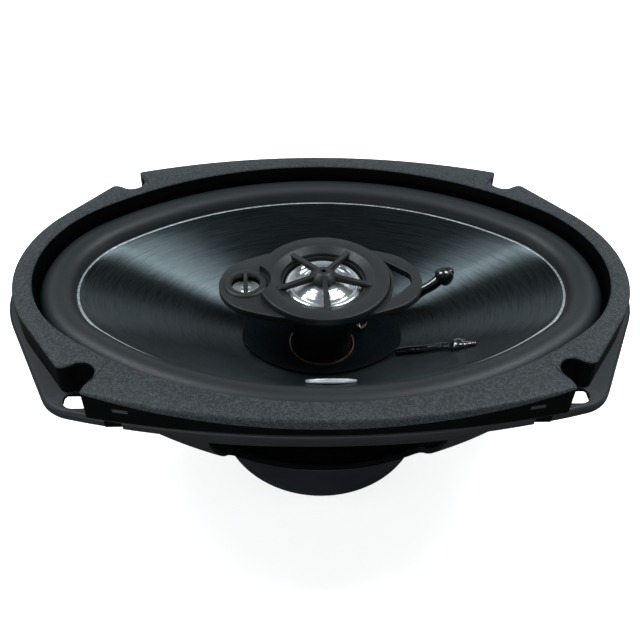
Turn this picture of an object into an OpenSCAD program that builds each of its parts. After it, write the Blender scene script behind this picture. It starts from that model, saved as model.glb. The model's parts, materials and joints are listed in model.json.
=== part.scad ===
// Oval three-way coaxial car speaker, 6 x 9 inch class.
// Millimetres. X is the long axis and +Z faces the listener.
// z = 0 is the plane that the flange is screwed against.

/* [Flange and basket] */
// Half length of the steel flange
flange_half_l = 119.2; // [118:0.1:121]
// Half width of the flange at the middle of its long sides
flange_half_w = 75.2; // [74.5:0.1:76.5]
// Depth of the flange's folded rim
rim_depth = 3.2; // [2.6:0.1:4]
// Thickness of the pressed steel sheet
sheet = 1.2; // [0.8:0.1:1.4]
// Half length of the basket's bowl, outside, at the flange
bowl_half_l = 108.2; // [107.8:0.1:108.6]
// Depth of the basket from the flange plane to the motor seat
basket_depth = 42.2; // [40:0.1:46]
// Spacing of the mounting slots along X
hole_pitch_x = 164.8; // [162:0.1:166]
// Spacing of the mounting slots along Y
hole_pitch_y = 116.8; // [115:0.1:118]
// Half width of a mounting slot
hole_r = 3.8; // [2.4:0.1:3.9]
// Length of a mounting slot, end to end
slot_l = 10.4; // [8:0.1:10.8]

/* [Trim ring] */
// Half length of the ring
ring_half_l = 115; // [114.5:0.1:116]
// Half width of the ring's lip at the middle
ring_half_w = 79; // [77:0.1:80]
// Height of the ring above the flange
ring_h = 11.8; // [10:0.1:14]
// Half length of the ring's oval opening
opening_half_l = 108; // [107.6:0.1:108.4]

/* [Cone and suspension] */
// Half length of the cone's oval edge
cone_half_l = 93.5; // [92:0.1:94]
// Height of the cone's edge
cone_edge_z = 5.15; // [4:0.1:6]
// Radius of the cone's round neck
neck_r = 14.8; // [14.6:0.1:16]
// Height of the cone's neck
neck_z = -29.3; // [-31:0.1:-28]
// Height of the surround's roll
roll_h = 6.3; // [5:0.1:7]
// Outer radius of the voice coil former
former_r = 13.35; // [13:0.05:13.5]

/* [Motor] */
// Radius of the ferrite magnet
magnet_r = 41.5; // [38:0.1:41.8]
// Thickness of the ferrite magnet
magnet_h = 20; // [16:0.5:20]
// Radius of the boot's open rim
boot_rim_r = 52.5; // [50:0.1:54]

/* [Tweeters] */
// Angle that the tweeter bridge is turned on its post
bridge_turn = 3; // [0:0.5:6]
// Radius of the raised tweeter bezel
bezel_r = 25.7; // [25:0.1:26.5]
// Distance of the super tweeter from the middle
super_x = 30; // [29:0.1:31]
// Radius of the super tweeter's opening
super_r = 5.5; // [5:0.1:5.8]

/* [Hidden] */
$fn = 96;

steel_black = [0.13, 0.13, 0.14];
plastic_black = [0.17, 0.17, 0.18];
rubber_black = [0.10, 0.11, 0.12];
oval_sides = 72;

// Every oval of the speaker is four arcs about the same centres.
oval_end_x = 58.7;
oval_side_y = 69.5;
oval_split = atan2(oval_side_y, oval_end_x);

flange_top = rim_depth;
ring_top = flange_top + ring_h;
bowl_straight_z = -6;
bowl_seat_r = 50;
bowl_seat_round = 0.8;
seat_z = sheet - basket_depth;
seat_top = seat_z + 0.3;
motor_top = -basket_depth;
plate_h = 6;
magnet_top = motor_top - plate_h;
magnet_bottom = magnet_top - magnet_h;
yoke_bottom = magnet_bottom - plate_h;
boot_bottom = yoke_bottom - 2.8;
gap_r = 14.7;
pole_r = 12.3;
former_wall = 0.35;
former_top = -26.2;
coil_top = -39.2;
coil_h = 12;
spider_z = -34.1;
spider_out_r = 44;
spider_wall = 0.5;
dust_edge_t = 0.215;
lead_angle = 21.8;
eyelet_r = 55.6;
plate_z = 2.8;
plate_top = 5.8;
bezel_top = 8.4;
cup_floor = -4;
cup_r = 17.4;
board_x = 97.4;
board_z = -30;

// ---------- points ----------
function arc(centre, r, from, to, steps) =
    [for (i = [0:steps]) let (a = from + (to - from) * i / steps)
        [centre[0] + r * cos(a), centre[1] + r * sin(a)]];

// A quarter outline, from +X round to +Y, repeated in the other quarters.
function four_quarters(q) = concat(
    q,
    [for (i = [len(q) - 1:-1:0]) [-q[i][0], q[i][1]]],
    [for (p = q) [-p[0], -p[1]]],
    [for (i = [len(q) - 1:-1:0]) [q[i][0], -q[i][1]]]);

// Point of the four-arc oval of half length a, where its normal is at ang.
function oval_point(a, ang) =
    let (c = abs(cos(ang)), s = abs(sin(ang)),
        end_r = a - oval_end_x,
        side_r = end_r + norm([oval_end_x, oval_side_y]),
        on_end = atan2(s, c) <= oval_split,
        x = on_end ? oval_end_x + end_r * c : side_r * c,
        y = on_end ? end_r * s : side_r * s - oval_side_y)
    [cos(ang) < 0 ? -x : x, sin(ang) < 0 ? -y : y];

function turn(i, n = oval_sides) = 360 * i / n;

// Ring of points between the oval of half length a and a circle of radius r.
function blend_ring(a, r, round_part, z) =
    [for (i = [0:oval_sides - 1]) let (p = oval_point(a, turn(i)))
        [p[0] * (1 - round_part) + r * cos(turn(i)) * round_part,
         p[1] * (1 - round_part) + r * sin(turn(i)) * round_part, z]];

function oval_ring(a, z) = blend_ring(a, 0, 0, z);
function circle_ring(r, z) = blend_ring(cone_half_l, r, 1, z);

// Ring on the cone's face: t is 0 at the neck and 1 at the edge.
function cone_ring(t, lift = 0) =
    blend_ring(cone_half_l, neck_r, 1 - t, neck_z + (cone_edge_z - neck_z) * t + lift);

function bowl_round(z) = z > bowl_straight_z ? 0 :
    bowl_seat_round * pow((bowl_straight_z - z) / (bowl_straight_z - seat_z), 2);
function bowl_ring(z, inset) =
    blend_ring(bowl_half_l - inset, bowl_seat_r - inset, bowl_round(z), z + inset);

// ---------- shared shapes ----------
// Closed skin through rings of points; the last ring joins the first.
module skin(rings) {
    n = len(rings[0]);
    m = len(rings);
    polyhedron(
        points = [for (r = rings) for (p = r) p],
        faces = [for (j = [0:m - 1]) for (i = [0:n - 1])
            let (k = (i + 1) % n, l = (j + 1) % m)
            each [[j * n + i, l * n + i, l * n + k], [j * n + i, l * n + k, j * n + k]]]);
}

// Round tube of radius r swept along a path.
module tube_along(path, r, sides = 8) {
    last = len(path) - 1;
    rings = [for (i = [0:last])
        let (d = path[min(i + 1, last)] - path[max(i - 1, 0)],
            f = d / norm(d),
            u = cross(f, [0, 1, 0]) / norm(cross(f, [0, 1, 0])),
            v = cross(f, u))
        [for (k = [0:sides - 1])
            path[i] + r * (u * cos(turn(k, sides)) + v * sin(turn(k, sides)))]];
    polyhedron(
        points = [for (s = rings) for (p = s) p],
        faces = concat(
            [[for (k = [0:sides - 1]) k]],
            [[for (k = [sides - 1:-1:0]) last * sides + k]],
            [for (j = [0:last - 1]) for (k = [0:sides - 1]) let (q = (k + 1) % sides)
                [j * sides + k, (j + 1) * sides + k, (j + 1) * sides + q, j * sides + q]]));
}

module tube(r_out, r_in, z_low, z_high) {
    translate([0, 0, z_low])
        difference() {
            cylinder(r = r_out, h = z_high - z_low);
            translate([0, 0, -1]) cylinder(r = r_in, h = z_high - z_low + 2);
        }
}

module slab(z_low, z_high) {
    translate([0, 0, z_low]) linear_extrude(z_high - z_low) children();
}

module four_corners(x, y) {
    for (sx = [-1, 1], sy = [-1, 1]) translate([sx * x, sy * y]) children();
}

module mirrored_y() {
    children();
    mirror([0, 1, 0]) children();
}

module oval_face(a) {
    polygon([for (i = [0:oval_sides - 1]) oval_point(a, turn(i))]);
}

// ---------- flange and basket ----------
flange_end_r = 44.8;
flange_corner = [81.5, 48.7];
flange_corner_r = 15.9;
flange_side_r = 335;
flange_bend = [27.7, 75.7];

module flange_face() {
    polygon(four_quarters(concat(
        arc([flange_half_l - flange_end_r, 0], flange_end_r, 0, flange_bend[0], 6),
        arc(flange_corner, flange_corner_r, flange_bend[0], flange_bend[1], 6),
        arc([0, flange_half_w - flange_side_r], flange_side_r, flange_bend[1], 90, 8))));
}

module mounting_slots() {
    four_corners(hole_pitch_x / 2, hole_pitch_y / 2)
        for (sx = [-1, 1]) translate([sx * (slot_l / 2 - hole_r), 0]) circle(hole_r);
    four_corners(hole_pitch_x / 2, hole_pitch_y / 2)
        square([slot_l - 2 * hole_r, 2 * hole_r], center = true);
}

// Notches in the flange's rim for the ring's snap hooks
hook_x = 69.9;
hook_w = 6;

module hook_places() {
    four_corners(hook_x, flange_half_w - 7.6) square([hook_w, 3.6], center = true);
}

// Window outlines: the long sides seen along Y, the ends seen along X
side_window_half = 44;
side_window_foot = 36;
window_foot_z = -37;
module side_window_face() {
    intersection() {
        polygon([[-side_window_half, 0], [side_window_half, 0],
            [side_window_foot, window_foot_z], [-side_window_foot, window_foot_z]]);
        translate([0, -162]) circle(155, $fn = 180);
    }
}
module end_window_face() {
    offset(r = 3, $fn = 24) offset(delta = -3)
        polygon([[8, -11], [41, -11], [27, window_foot_z], [6.5, window_foot_z]]);
}

module bowl() {
    top_z = flange_top - sheet / 2;
    levels = [for (i = [0:10]) seat_z + (bowl_straight_z - seat_z) * i / 10];
    difference() {
        skin(concat(
            [for (z = levels) bowl_ring(z, 0)],
            [oval_ring(bowl_half_l, top_z), oval_ring(bowl_half_l - sheet, top_z)],
            [for (i = [10:-1:0]) bowl_ring(levels[i], sheet)]));
        rotate([90, 0, 0]) linear_extrude(200, center = true) side_window_face();
        mirrored_y() rotate([90, 0, 90]) linear_extrude(300, center = true) end_window_face();
    }
}

// Bracket on the +X leg that carries the terminal board
bracket_half_w = 12.4;
board_rivet_y = 10.3;
module terminal_bracket() {
    translate([76, -6, board_z + 3.8]) cube([board_x - 76, 12, sheet]);
    difference() {
        translate([board_x - sheet, -bracket_half_w, board_z - 9])
            cube([sheet, 2 * bracket_half_w, 13]);
        board_screws(3);
    }
}
module board_screws(depth) {
    for (sy = [-1, 1])
        translate([board_x - depth, sy * board_rivet_y, board_z]) rotate([0, 90, 0])
            cylinder(r = 1.3, h = 2 * depth, $fn = 32);
}

// Plan of the pan that the motor is riveted to
module seat_face() {
    pan = bowl_ring(seat_z, 0.2);
    polygon([for (p = pan) [p[0], p[1]]]);
}

rivet_ring_r = 30;
module basket_rivet_places() {
    for (a = [45:90:315]) rotate(a) translate([rivet_ring_r, 0, 0]) children();
}

module basket() color(steel_black) {
    difference() {
        union() {
            slab(flange_top - sheet, flange_top) flange_face();
            slab(0, flange_top) difference() {
                flange_face();
                offset(delta = -sheet) flange_face();
            }
        }
        slab(-1, flange_top + 1) oval_face(bowl_half_l - sheet / 2);
        slab(-1, flange_top + 1) mounting_slots();
        slab(-1, flange_top + 1) hook_places();
    }
    bowl();
    difference() {
        slab(motor_top, seat_top) difference() {
            seat_face();
            circle(18);
        }
        basket_rivet_places()
            translate([0, 0, motor_top - 1]) cylinder(r = 2, h = 4, $fn = 32);
    }
    terminal_bracket();
}

module rear_gasket() color([0.05, 0.05, 0.05])
    slab(0.1, flange_top - sheet) difference() {
        offset(delta = -sheet - 0.3) flange_face();
        oval_face(bowl_half_l + 0.3);
        four_corners(hole_pitch_x / 2, hole_pitch_y / 2)
            square([slot_l + 1, 2 * hole_r + 1], center = true);
        four_corners(hook_x, flange_half_w - 8.2) square([hook_w + 1, 5], center = true);
    }

// ---------- trim ring ----------
ring_end_r = 56;
ring_lip_corner = [88.4, 54.7];
ring_tip = [78.8, 66];
notch_centre = [80.6, 57.5];
notch_r = 5;
lip_h = 4.2;
ring_wall = 1.8;
ring_wedge_r = 1000;

function sagitta_r(rise) = (ring_tip[0] * ring_tip[0] + rise * rise) / (2 * rise);

module barrel(half_w) {
    r = sagitta_r(half_w - ring_tip[1]);
    intersection_for (s = [-1, 1]) translate([0, s * (r - half_w)]) circle(r, $fn = 360);
}

// The ring's plan, with a notch round each screw
module ring_face(half_w) {
    r = sagitta_r(half_w - ring_tip[1]);
    side_from = acos(ring_tip[0] / r);
    difference() {
        polygon(four_quarters(concat(
            arc([ring_half_l - ring_end_r, 0], ring_end_r, 0, 36, 9),
            [ring_lip_corner],
            arc([0, half_w - r], r, side_from, 90, 10))));
        for (sx = [-1, 1], sy = [-1, 1]) scale([sx, sy]) {
            translate(notch_centre) circle(notch_r, $fn = 48);
            polygon([[84.2, 54], [86.3, 55], ring_lip_corner + [0.3, 0], [96, 72],
                [79, 72], ring_tip + [0, -0.8], [78.3, 63.3], [76.5, 60.4]]);
        }
    }
}

skirt_half_w = flange_half_w - 0.5;
skirt_window_x = 66.5;
module ring_hooks() {
    four_corners(hook_x, flange_half_w - 8.2) slab(0.1, flange_top + 1)
        square([hook_w - 0.6, 1.6], center = true);
    four_corners(hook_x, flange_half_w - 8.8) slab(0.1, flange_top - sheet - 0.3)
        square([hook_w - 0.6, 2.8], center = true);
}

module trim_ring() color(plastic_black) difference() {
    union() {
        slab(flange_top, ring_top) ring_face(skirt_half_w);
        intersection() {
            slab(ring_top - lip_h, ring_top) ring_face(ring_half_w);
            translate([0, 0, ring_top - lip_h + ring_wedge_r]) rotate([90, 0, 0])
                cylinder(r = ring_wedge_r, h = 200, center = true, $fn = 720);
        }
        ring_hooks();
    }
    slab(flange_top - 1, ring_top + 1) oval_face(opening_half_l);
    // Room for the surround's outer edge under the inner wall
    slab(flange_top - 1, flange_top + 1.2) oval_face(opening_half_l + 4);
    // The underside is hollow between the inner wall and the skirt
    slab(flange_top - 1, ring_top - 2.6) difference() {
        offset(delta = -ring_wall) ring_face(skirt_half_w);
        oval_face(opening_half_l + ring_wall);
        four_corners(hook_x, flange_half_w - 8.2) square([hook_w + 1, 5], center = true);
    }
    // Moulding windows beside the hooks
    four_corners(skirt_window_x, flange_half_w - 7) slab(flange_top + 4.5, flange_top + 6.1)
        square([5.2, 6], center = true);
}

// ---------- cone and suspension ----------
roll_base_z = flange_top + 1;
roll_mid = (opening_half_l + cone_half_l) / 2;
roll_half = (opening_half_l - cone_half_l) / 2 - 0.4;
rubber = 1;

module surround() color(rubber_black) {
    outer = [for (p = arc([0, 0], 1, 0, 180, 12))
        [roll_mid + roll_half * p[0], roll_base_z + roll_h * p[1]]];
    inner = [for (p = arc([0, 0], 1, 180, 0, 12))
        [roll_mid + (roll_half - rubber) * p[0], roll_base_z + (roll_h - rubber) * p[1]]];
    edge = opening_half_l + 3.7;
    strip = cone_half_l - 2.6;
    profile = concat([[edge, flange_top + 1]], outer,
        [[cone_half_l + 0.4, 3.2], [strip, 1.9], [strip, 1.1],
         [cone_half_l + 1, 2.3]], inner,
        [[roll_mid + roll_half - rubber, flange_top], [edge, flange_top]]);
    skin([for (p = profile) oval_ring(p[0], p[1])]);
}

cone_wall = 0.8;
cone_lip = 0.3;
cone_steps = 6;
module cone() color([0.20, 0.23, 0.25]) {
    edge = cone_half_l + cone_lip;
    skin(concat(
        [oval_ring(edge, cone_edge_z - cone_wall), oval_ring(edge, cone_edge_z)],
        [for (i = [cone_steps:-1:0]) cone_ring(i / cone_steps)],
        [circle_ring(former_r + 0.1, neck_z), circle_ring(former_r + 0.1, neck_z - 1.6),
         circle_ring(neck_r, neck_z - 1.6)],
        [for (i = [0:cone_steps]) cone_ring(i / cone_steps, -cone_wall)]));
}

module dust_ring() color([0.04, 0.05, 0.06]) {
    inner = former_r + 0.25;
    skin([cone_ring(dust_edge_t, 0.2), cone_ring(dust_edge_t, 1.3),
        circle_ring(inner, former_top - 0.2), circle_ring(inner, former_top - 1.4)]);
}

module voice_coil_former() color([0.62, 0.40, 0.28])
    tube(former_r, former_r - former_wall, coil_top - coil_h, former_top);

module voice_coil() color([0.72, 0.38, 0.20])
    tube(former_r + 0.65, former_r + 0.02, coil_top - coil_h, coil_top);

// Glue bead over each voice coil lead, out to its eyelet
function cone_z_along(r) = neck_z + (r - neck_r) * 0.512;
module lead_glue() color([0.06, 0.06, 0.07]) for (s = [-1, 1]) difference() {
    rotate(s * lead_angle) {
        hull() {
            translate([33.2, 0, cone_z_along(33.2) + 0.9]) sphere(1.2, $fn = 16);
            translate([eyelet_r, 0, cone_z_along(eyelet_r) + 1]) sphere(1.5, $fn = 16);
        }
        translate([eyelet_r, 0, cone_z_along(eyelet_r) + 0.9]) sphere(3.6, $fn = 24);
    }
    glue_bed();
}
// Everything just below the cone's face
module glue_bed() {
    skin(concat([for (i = [0:cone_steps]) cone_ring(i / cone_steps, -12)],
        [for (i = [cone_steps:-1:0]) cone_ring(i / cone_steps, 0.04)]));
}

// Twisted ends of the coil wires, lying on the dust ring
module lead_tails() color([0.80, 0.50, 0.32]) for (side = [0, 0.9])
    tube_along([[15.6 + side, 8.6, -24.3], [17, 7.4 + side, -23.8],
        [18.4, 8.4 + side, -23.4]], 0.3, 8);

// Plain oval badge, tangent to the front of the cone
badge_y = -44.6;
module cone_badge() color([0.75, 0.76, 0.78])
    translate([1.4, badge_y, -4]) rotate([-39.7, 0, 0]) linear_extrude(0.8)
        polygon([for (p = arc([0, 0], 1, 0, 354, 59)) [9.1 * p[0], 4.4 * p[1]]]);

// Corrugated damper between the former and its landing ring
function spider_h(r) = (r < 17 || r > 39.6) ? 0 : 1.1 * sin((r - 17) / 22.6 * 360 * 3.5);
module spider() color([0.75, 0.62, 0.25]) {
    radii = concat([former_r + 0.05], [for (i = [0:28]) 17 + 22.6 * i / 28], [spider_out_r]);
    rotate_extrude()
        polygon(concat(
            [for (r = radii) [r, spider_z + spider_h(r)]],
            [for (i = [len(radii) - 1:-1:0])
                [radii[i], spider_z + spider_h(radii[i]) - spider_wall]]));
}

module spider_ring() color(plastic_black)
    tube(45.2, 39.8, seat_top, spider_z - spider_wall);

// ---------- motor ----------
module top_plate() color([0.55, 0.56, 0.58]) difference() {
    tube(43.4, gap_r, magnet_top, motor_top);
    basket_rivet_places()
        translate([0, 0, magnet_top - 1]) cylinder(r = 2, h = plate_h + 2, $fn = 32);
}

module magnet() color([0.20, 0.20, 0.21])
    tube(magnet_r, 22, magnet_bottom, magnet_top);

module pole_yoke() color([0.55, 0.56, 0.58]) difference() {
    union() {
        translate([0, 0, yoke_bottom]) cylinder(r = 38, h = plate_h);
        translate([0, 0, yoke_bottom]) cylinder(r = pole_r, h = motor_top - yoke_bottom);
    }
    translate([0, 0, yoke_bottom - 1]) cylinder(r = 2.6, h = 60, $fn = 48);
}

module magnet_boot() color(rubber_black) {
    shoulder_z = -70;
    foot_r = 38;
    rotate_extrude() polygon(concat(
        [[12, boot_bottom], [foot_r, boot_bottom]],
        arc([foot_r - 1, boot_bottom + 7], 7, -82, -8, 6),
        [[43.9, shoulder_z], [boot_rim_r, motor_top - 1.8], [boot_rim_r - 2, motor_top - 1.8],
         [42, shoulder_z], [40.4, yoke_bottom], [12, yoke_bottom]]));
}

module basket_rivets() color([0.7, 0.7, 0.72]) basket_rivet_places() {
    translate([0, 0, magnet_top + 1]) cylinder(r = 2, h = seat_top - magnet_top - 1, $fn = 32);
    translate([0, 0, seat_top]) cylinder(r = 3.2, h = 0.7, $fn = 32);
}

module post_screw() color([0.7, 0.7, 0.72]) difference() {
    union() {
        translate([0, 0, yoke_bottom]) cylinder(r = 2.5, h = 60, $fn = 48);
        translate([0, 0, yoke_bottom - 2.2]) cylinder(r = 5, h = 2.2, $fn = 48);
    }
    translate([0, 0, yoke_bottom - 3]) cylinder(r = 2, h = 2.6, $fn = 6);
}

// ---------- tweeter bridge ----------
bridge_side_r = 70;
bridge_side_y = 24;
bridge_tips = [-40.3, 38.5];
cavity_r = 16.5;
bore_top = -12;

// A tip's arc runs tangent into the long arcs of the two sides.
function tip_centre(reach) =
    let (side_centre = bridge_side_r - bridge_side_y, slack = bridge_side_r - reach)
    (side_centre * side_centre - slack * slack) / (2 * slack);
function tip_arc(reach) =
    let (c = tip_centre(reach), side_centre = bridge_side_r - bridge_side_y,
        bend = atan2(side_centre, c))
    arc([c, 0], reach - c, -bend, bend, 24);

module bridge_outline() {
    polygon(tip_arc(bridge_tips[1]));
    mirror([1, 0]) polygon(tip_arc(-bridge_tips[0]));
    intersection() {
        intersection_for (s = [-1, 1])
            translate([0, s * (bridge_side_r - bridge_side_y)]) circle(bridge_side_r, $fn = 180);
        square([56, 60], center = true);
    }
}

// Triangular window beside the tweeter
module bridge_window() {
    offset(r = 1.6, $fn = 32) offset(delta = -1.6) difference() {
        polygon([[22, 12.6], [26.4, 10.9], [36.4, 1.6], [36.4, -1.6], [26.4, -10.9], [22, -12.6]]);
        circle(bezel_r + 1.2);
    }
}

module bridge_face() difference() {
    bridge_outline();
    bridge_window();
}

module tweeter_post() color(plastic_black) difference() {
    translate([0, 0, motor_top]) cylinder(r = 11.9, h = cup_floor - motor_top);
    translate([0, 0, motor_top - 1]) cylinder(r = 2.55, h = bore_top - motor_top + 1, $fn = 48);
}

module tweeter_bridge() color(plastic_black) rotate(bridge_turn) {
    difference() {
        union() {
            slab(plate_z, plate_top) bridge_face();
            translate([0, 0, cup_floor]) cylinder(r = cup_r, h = plate_top - cup_floor);
            translate([-super_x, 0, -1.6]) cylinder(r = 7.4, h = plate_top + 1.6, $fn = 64);
        }
        translate([0, 0, cup_floor + 1.2]) cylinder(r = cavity_r, h = 20);
        translate([-super_x, 0, -0.6]) cylinder(r = super_r + 0.8, h = 20, $fn = 64);
        translate([0, 0, cup_floor - 1]) cylinder(r = 2.55, h = 4, $fn = 48);
    }
}

boss_r = 8.6;
spoke_w = 2.2;
spoke_count = 5;
hub_r = 5.2;
module tweeter_bezel() color(plastic_black) rotate(bridge_turn) {
    difference() {
        rotate_extrude() polygon([[cavity_r - 0.1, plate_top], [bezel_r, plate_top],
            [bezel_r, bezel_top - 0.5], [bezel_r - 0.5, bezel_top], [19.7, bezel_top],
            [cavity_r - 0.1, bezel_top - 1.6]]);
    }
    for (k = [0:spoke_count - 1]) rotate(270 + k * 360 / spoke_count)
        rotate([90, 0, 0]) translate([0, 0, -spoke_w / 2]) linear_extrude(spoke_w)
            polygon([[3, bezel_top - 0.6], [18.8, bezel_top - 1.9], [18.8, bezel_top - 0.2],
                [3, bezel_top + 1.9]]);
    difference() {
        translate([0, 0, bezel_top - 1]) cylinder(r1 = hub_r, r2 = 2.6, h = 3.6);
        translate([0, 0, bezel_top + 1.6]) cylinder(r = 0.8, h = 3, $fn = 24);
    }
}

tweeter_cup_r = 11.4;
module tweeter_cup() color([0.55, 0.56, 0.58]) difference() {
    translate([0, 0, cup_floor + 1.2]) cylinder(r = tweeter_cup_r, h = 5);
    translate([0, 0, cup_floor + 2.2]) cylinder(r = 10.4, h = 6);
}
module tweeter_magnet() color([0.62, 0.62, 0.65])
    translate([0, 0, cup_floor + 2.2]) cylinder(r = 8.6, h = 2.4);
module tweeter_pole_disc() color([0.55, 0.56, 0.58])
    translate([0, 0, cup_floor + 4.6]) cylinder(r = 9, h = 1.4);
module tweeter_coil() color([0.72, 0.38, 0.20])
    tube(9.95, 9.45, 0.2, 3);

// One formed film: a dome inside a wide half roll
module tweeter_diaphragm() color([0.80, 0.81, 0.83]) {
    top = concat(arc([0, -8.1], 15, 90, 52, 8),
        [[9.5, 3.4]], arc([12.6, 3.2], 2.6, 172, 8, 8));
    rotate_extrude() polygon(concat(top, [for (i = [len(top) - 1:-1:0]) top[i] - [0, 0.35]]));
}
module tweeter_frame() color([0.08, 0.08, 0.09])
    tube(cavity_r - 0.1, 15.6, cup_floor + 1.2, 5.6);

module super_tweeter_bezel() color(plastic_black)
    rotate(bridge_turn) translate([-super_x, 0, 0]) {
        difference() {
            rotate_extrude($fn = 64) polygon([[super_r, plate_top], [boss_r, plate_top],
                [boss_r, plate_top + 0.4], [boss_r - 0.6, plate_top + 0.8],
                [super_r + 0.5, plate_top + 0.8], [super_r, plate_top + 0.4]]);
            translate([super_x, 0, plate_top - 1]) cylinder(r = bezel_r + 0.3, h = 4);
        }
        translate([-0.9, -5.9, plate_top - 0.6]) cube([1.8, 11.8, 1.3]);
    }
module super_tweeter_diaphragm() color([0.72, 0.73, 0.75])
    rotate(bridge_turn) translate([-super_x, 0, 0])
        rotate_extrude($fn = 64) polygon([[0, 3.9], [2, 3.7], [3.8, 3], [5.6, 3.2],
            [5.6, 2.9], [3.8, 2.7], [2, 3.4], [0, 3.6]]);
module super_tweeter_piezo() color([0.75, 0.62, 0.25])
    rotate(bridge_turn) translate([-super_x, 0, 0]) {
        translate([0, 0, -0.6]) cylinder(r = 5.8, h = 0.5, $fn = 64);
        translate([0, 0, -0.1]) cylinder(r = 4.4, h = 0.4, $fn = 64);
    }

// ---------- terminals ----------
module terminal_board() color([0.35, 0.20, 0.10]) difference() {
    translate([board_x, -13, board_z - 8]) cube([1.6, 26, 12]);
    board_screws(4);
}
module blade(y, w, foot_z) {
    translate([board_x + 1.6, y - w / 2, foot_z]) cube([0.8, w, board_z + 2 - foot_z]);
    translate([board_x + 2.4, y, board_z]) rotate([0, 90, 0]) cylinder(r = 1.5, h = 0.5, $fn = 32);
}
module terminal_positive() color([0.80, 0.79, 0.74]) blade(-4, 6.3, board_z - 17);
module terminal_negative() color([0.80, 0.79, 0.74]) blade(4, 4.75, board_z - 17);
module terminal_rivets() color([0.7, 0.7, 0.72]) for (s = [-1, 1])
    translate([board_x - sheet, s * board_rivet_y, board_z]) rotate([0, 90, 0]) {
        cylinder(r = 1.3, h = sheet + 1.6, $fn = 32);
        translate([0, 0, sheet + 1.6]) cylinder(r = 2.4, h = 0.6, $fn = 32);
    }

lead_r = 0.8;
lead_route = [[52.4, 20.9, -12], [54.5, 20.8, -16], [58.5, 20.4, -20], [64, 19.8, -23.4],
    [70.5, 18.8, -25.8], [77.5, 17.4, -27.4], [84.5, 15.6, -28.2], [90.5, 13.6, -28.4],
    [95.6, 12, -28.4]];
module tinsel_leads() color([0.78, 0.55, 0.35])
    mirrored_y() tube_along(lead_route, lead_r);

cap_r = 4;
cap_x = board_x - sheet - cap_r - 0.2;
module crossover_capacitor() color([0.10, 0.13, 0.30])
    translate([cap_x, 0, board_z - 6]) rotate([90, 0, 0]) cylinder(r = cap_r, h = 15, center = true);
module capacitor_leads() color([0.8, 0.8, 0.82]) for (s = [-1, 1])
    translate([cap_x, s * 9.2, board_z - 6]) rotate([90, 0, 0])
        cylinder(r = 0.4, h = 3.4, center = true, $fn = 24);

basket();
rear_gasket();
trim_ring();
surround();
cone();
dust_ring();
voice_coil_former();
voice_coil();
lead_glue();
lead_tails();
cone_badge();
spider();
spider_ring();
top_plate();
magnet();
pole_yoke();
magnet_boot();
basket_rivets();
post_screw();
tweeter_post();
tweeter_bridge();
tweeter_bezel();
tweeter_cup();
tweeter_magnet();
tweeter_pole_disc();
tweeter_coil();
tweeter_diaphragm();
tweeter_frame();
super_tweeter_bezel();
super_tweeter_diaphragm();
super_tweeter_piezo();
terminal_board();
terminal_positive();
terminal_negative();
terminal_rivets();
tinsel_leads();
crossover_capacitor();
capacitor_leads();
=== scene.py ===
"""Oval coaxial car speaker: the visible pieces and their materials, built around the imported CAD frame."""
import json
from math import atan2, cos, degrees, hypot, pi, radians, sin, sqrt
import random

import bmesh
import bpy
from mathutils import Matrix, Vector


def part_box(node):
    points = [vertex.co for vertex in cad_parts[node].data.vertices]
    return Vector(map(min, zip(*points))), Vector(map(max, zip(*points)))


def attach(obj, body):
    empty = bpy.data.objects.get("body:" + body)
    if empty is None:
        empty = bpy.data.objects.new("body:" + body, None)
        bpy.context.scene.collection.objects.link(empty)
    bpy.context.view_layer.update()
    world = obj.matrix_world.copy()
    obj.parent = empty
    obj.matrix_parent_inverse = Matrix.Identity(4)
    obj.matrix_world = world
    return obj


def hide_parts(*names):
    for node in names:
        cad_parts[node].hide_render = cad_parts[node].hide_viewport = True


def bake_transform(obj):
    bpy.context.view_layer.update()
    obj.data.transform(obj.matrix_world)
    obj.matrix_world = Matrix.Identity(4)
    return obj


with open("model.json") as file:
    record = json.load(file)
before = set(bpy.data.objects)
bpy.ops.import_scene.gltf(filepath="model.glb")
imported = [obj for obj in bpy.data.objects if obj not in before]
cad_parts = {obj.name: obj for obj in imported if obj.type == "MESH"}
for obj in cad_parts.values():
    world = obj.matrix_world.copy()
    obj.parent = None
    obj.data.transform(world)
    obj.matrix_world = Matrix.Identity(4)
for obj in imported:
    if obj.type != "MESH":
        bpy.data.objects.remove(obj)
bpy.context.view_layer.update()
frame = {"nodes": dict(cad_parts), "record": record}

MM = 0.001
FRAME_BODY = "frame"
CONE_BODY = "cone_assembly"
TWEETER_BODY = "tweeter_dome"
AROUND = 360  # points round every oval


def span(node):
    """Lowest and highest corner of a CAD node, in millimetres."""
    lo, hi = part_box(node)
    return lo / MM, hi / MM


# ---------- sizes in millimetres: corners of the CAD nodes, then the part's driving sizes ----------
basket_lo, basket_hi = span("basket")
cone_lo, cone_hi = span("cone")
former_lo, former_hi = span("voice_coil_former")
coil_lo, coil_hi = span("voice_coil")
boot_lo, boot_hi = span("magnet_boot")
board_lo, board_hi = span("terminal_board")
cap_lo, cap_hi = span("crossover_capacitor")
ring_hi = span("trim_ring")[1]
surround_hi = span("surround")[1]
spider_hi = span("spider")[1]
dome_hi = span("tweeter_diaphragm")[1]
plate_top = span("tweeter_bezel")[0].z
slots = {m["name"]: m for m in frame["record"]["mounts"]}["mounting_slots"]["dims"]

OVAL_END_X = 58.7
OVAL_SIDE_Y = 69.5
OVAL_SPLIT = atan2(OVAL_SIDE_Y, OVAL_END_X)
SIDE_EXTRA_R = hypot(OVAL_END_X, OVAL_SIDE_Y)

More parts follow.
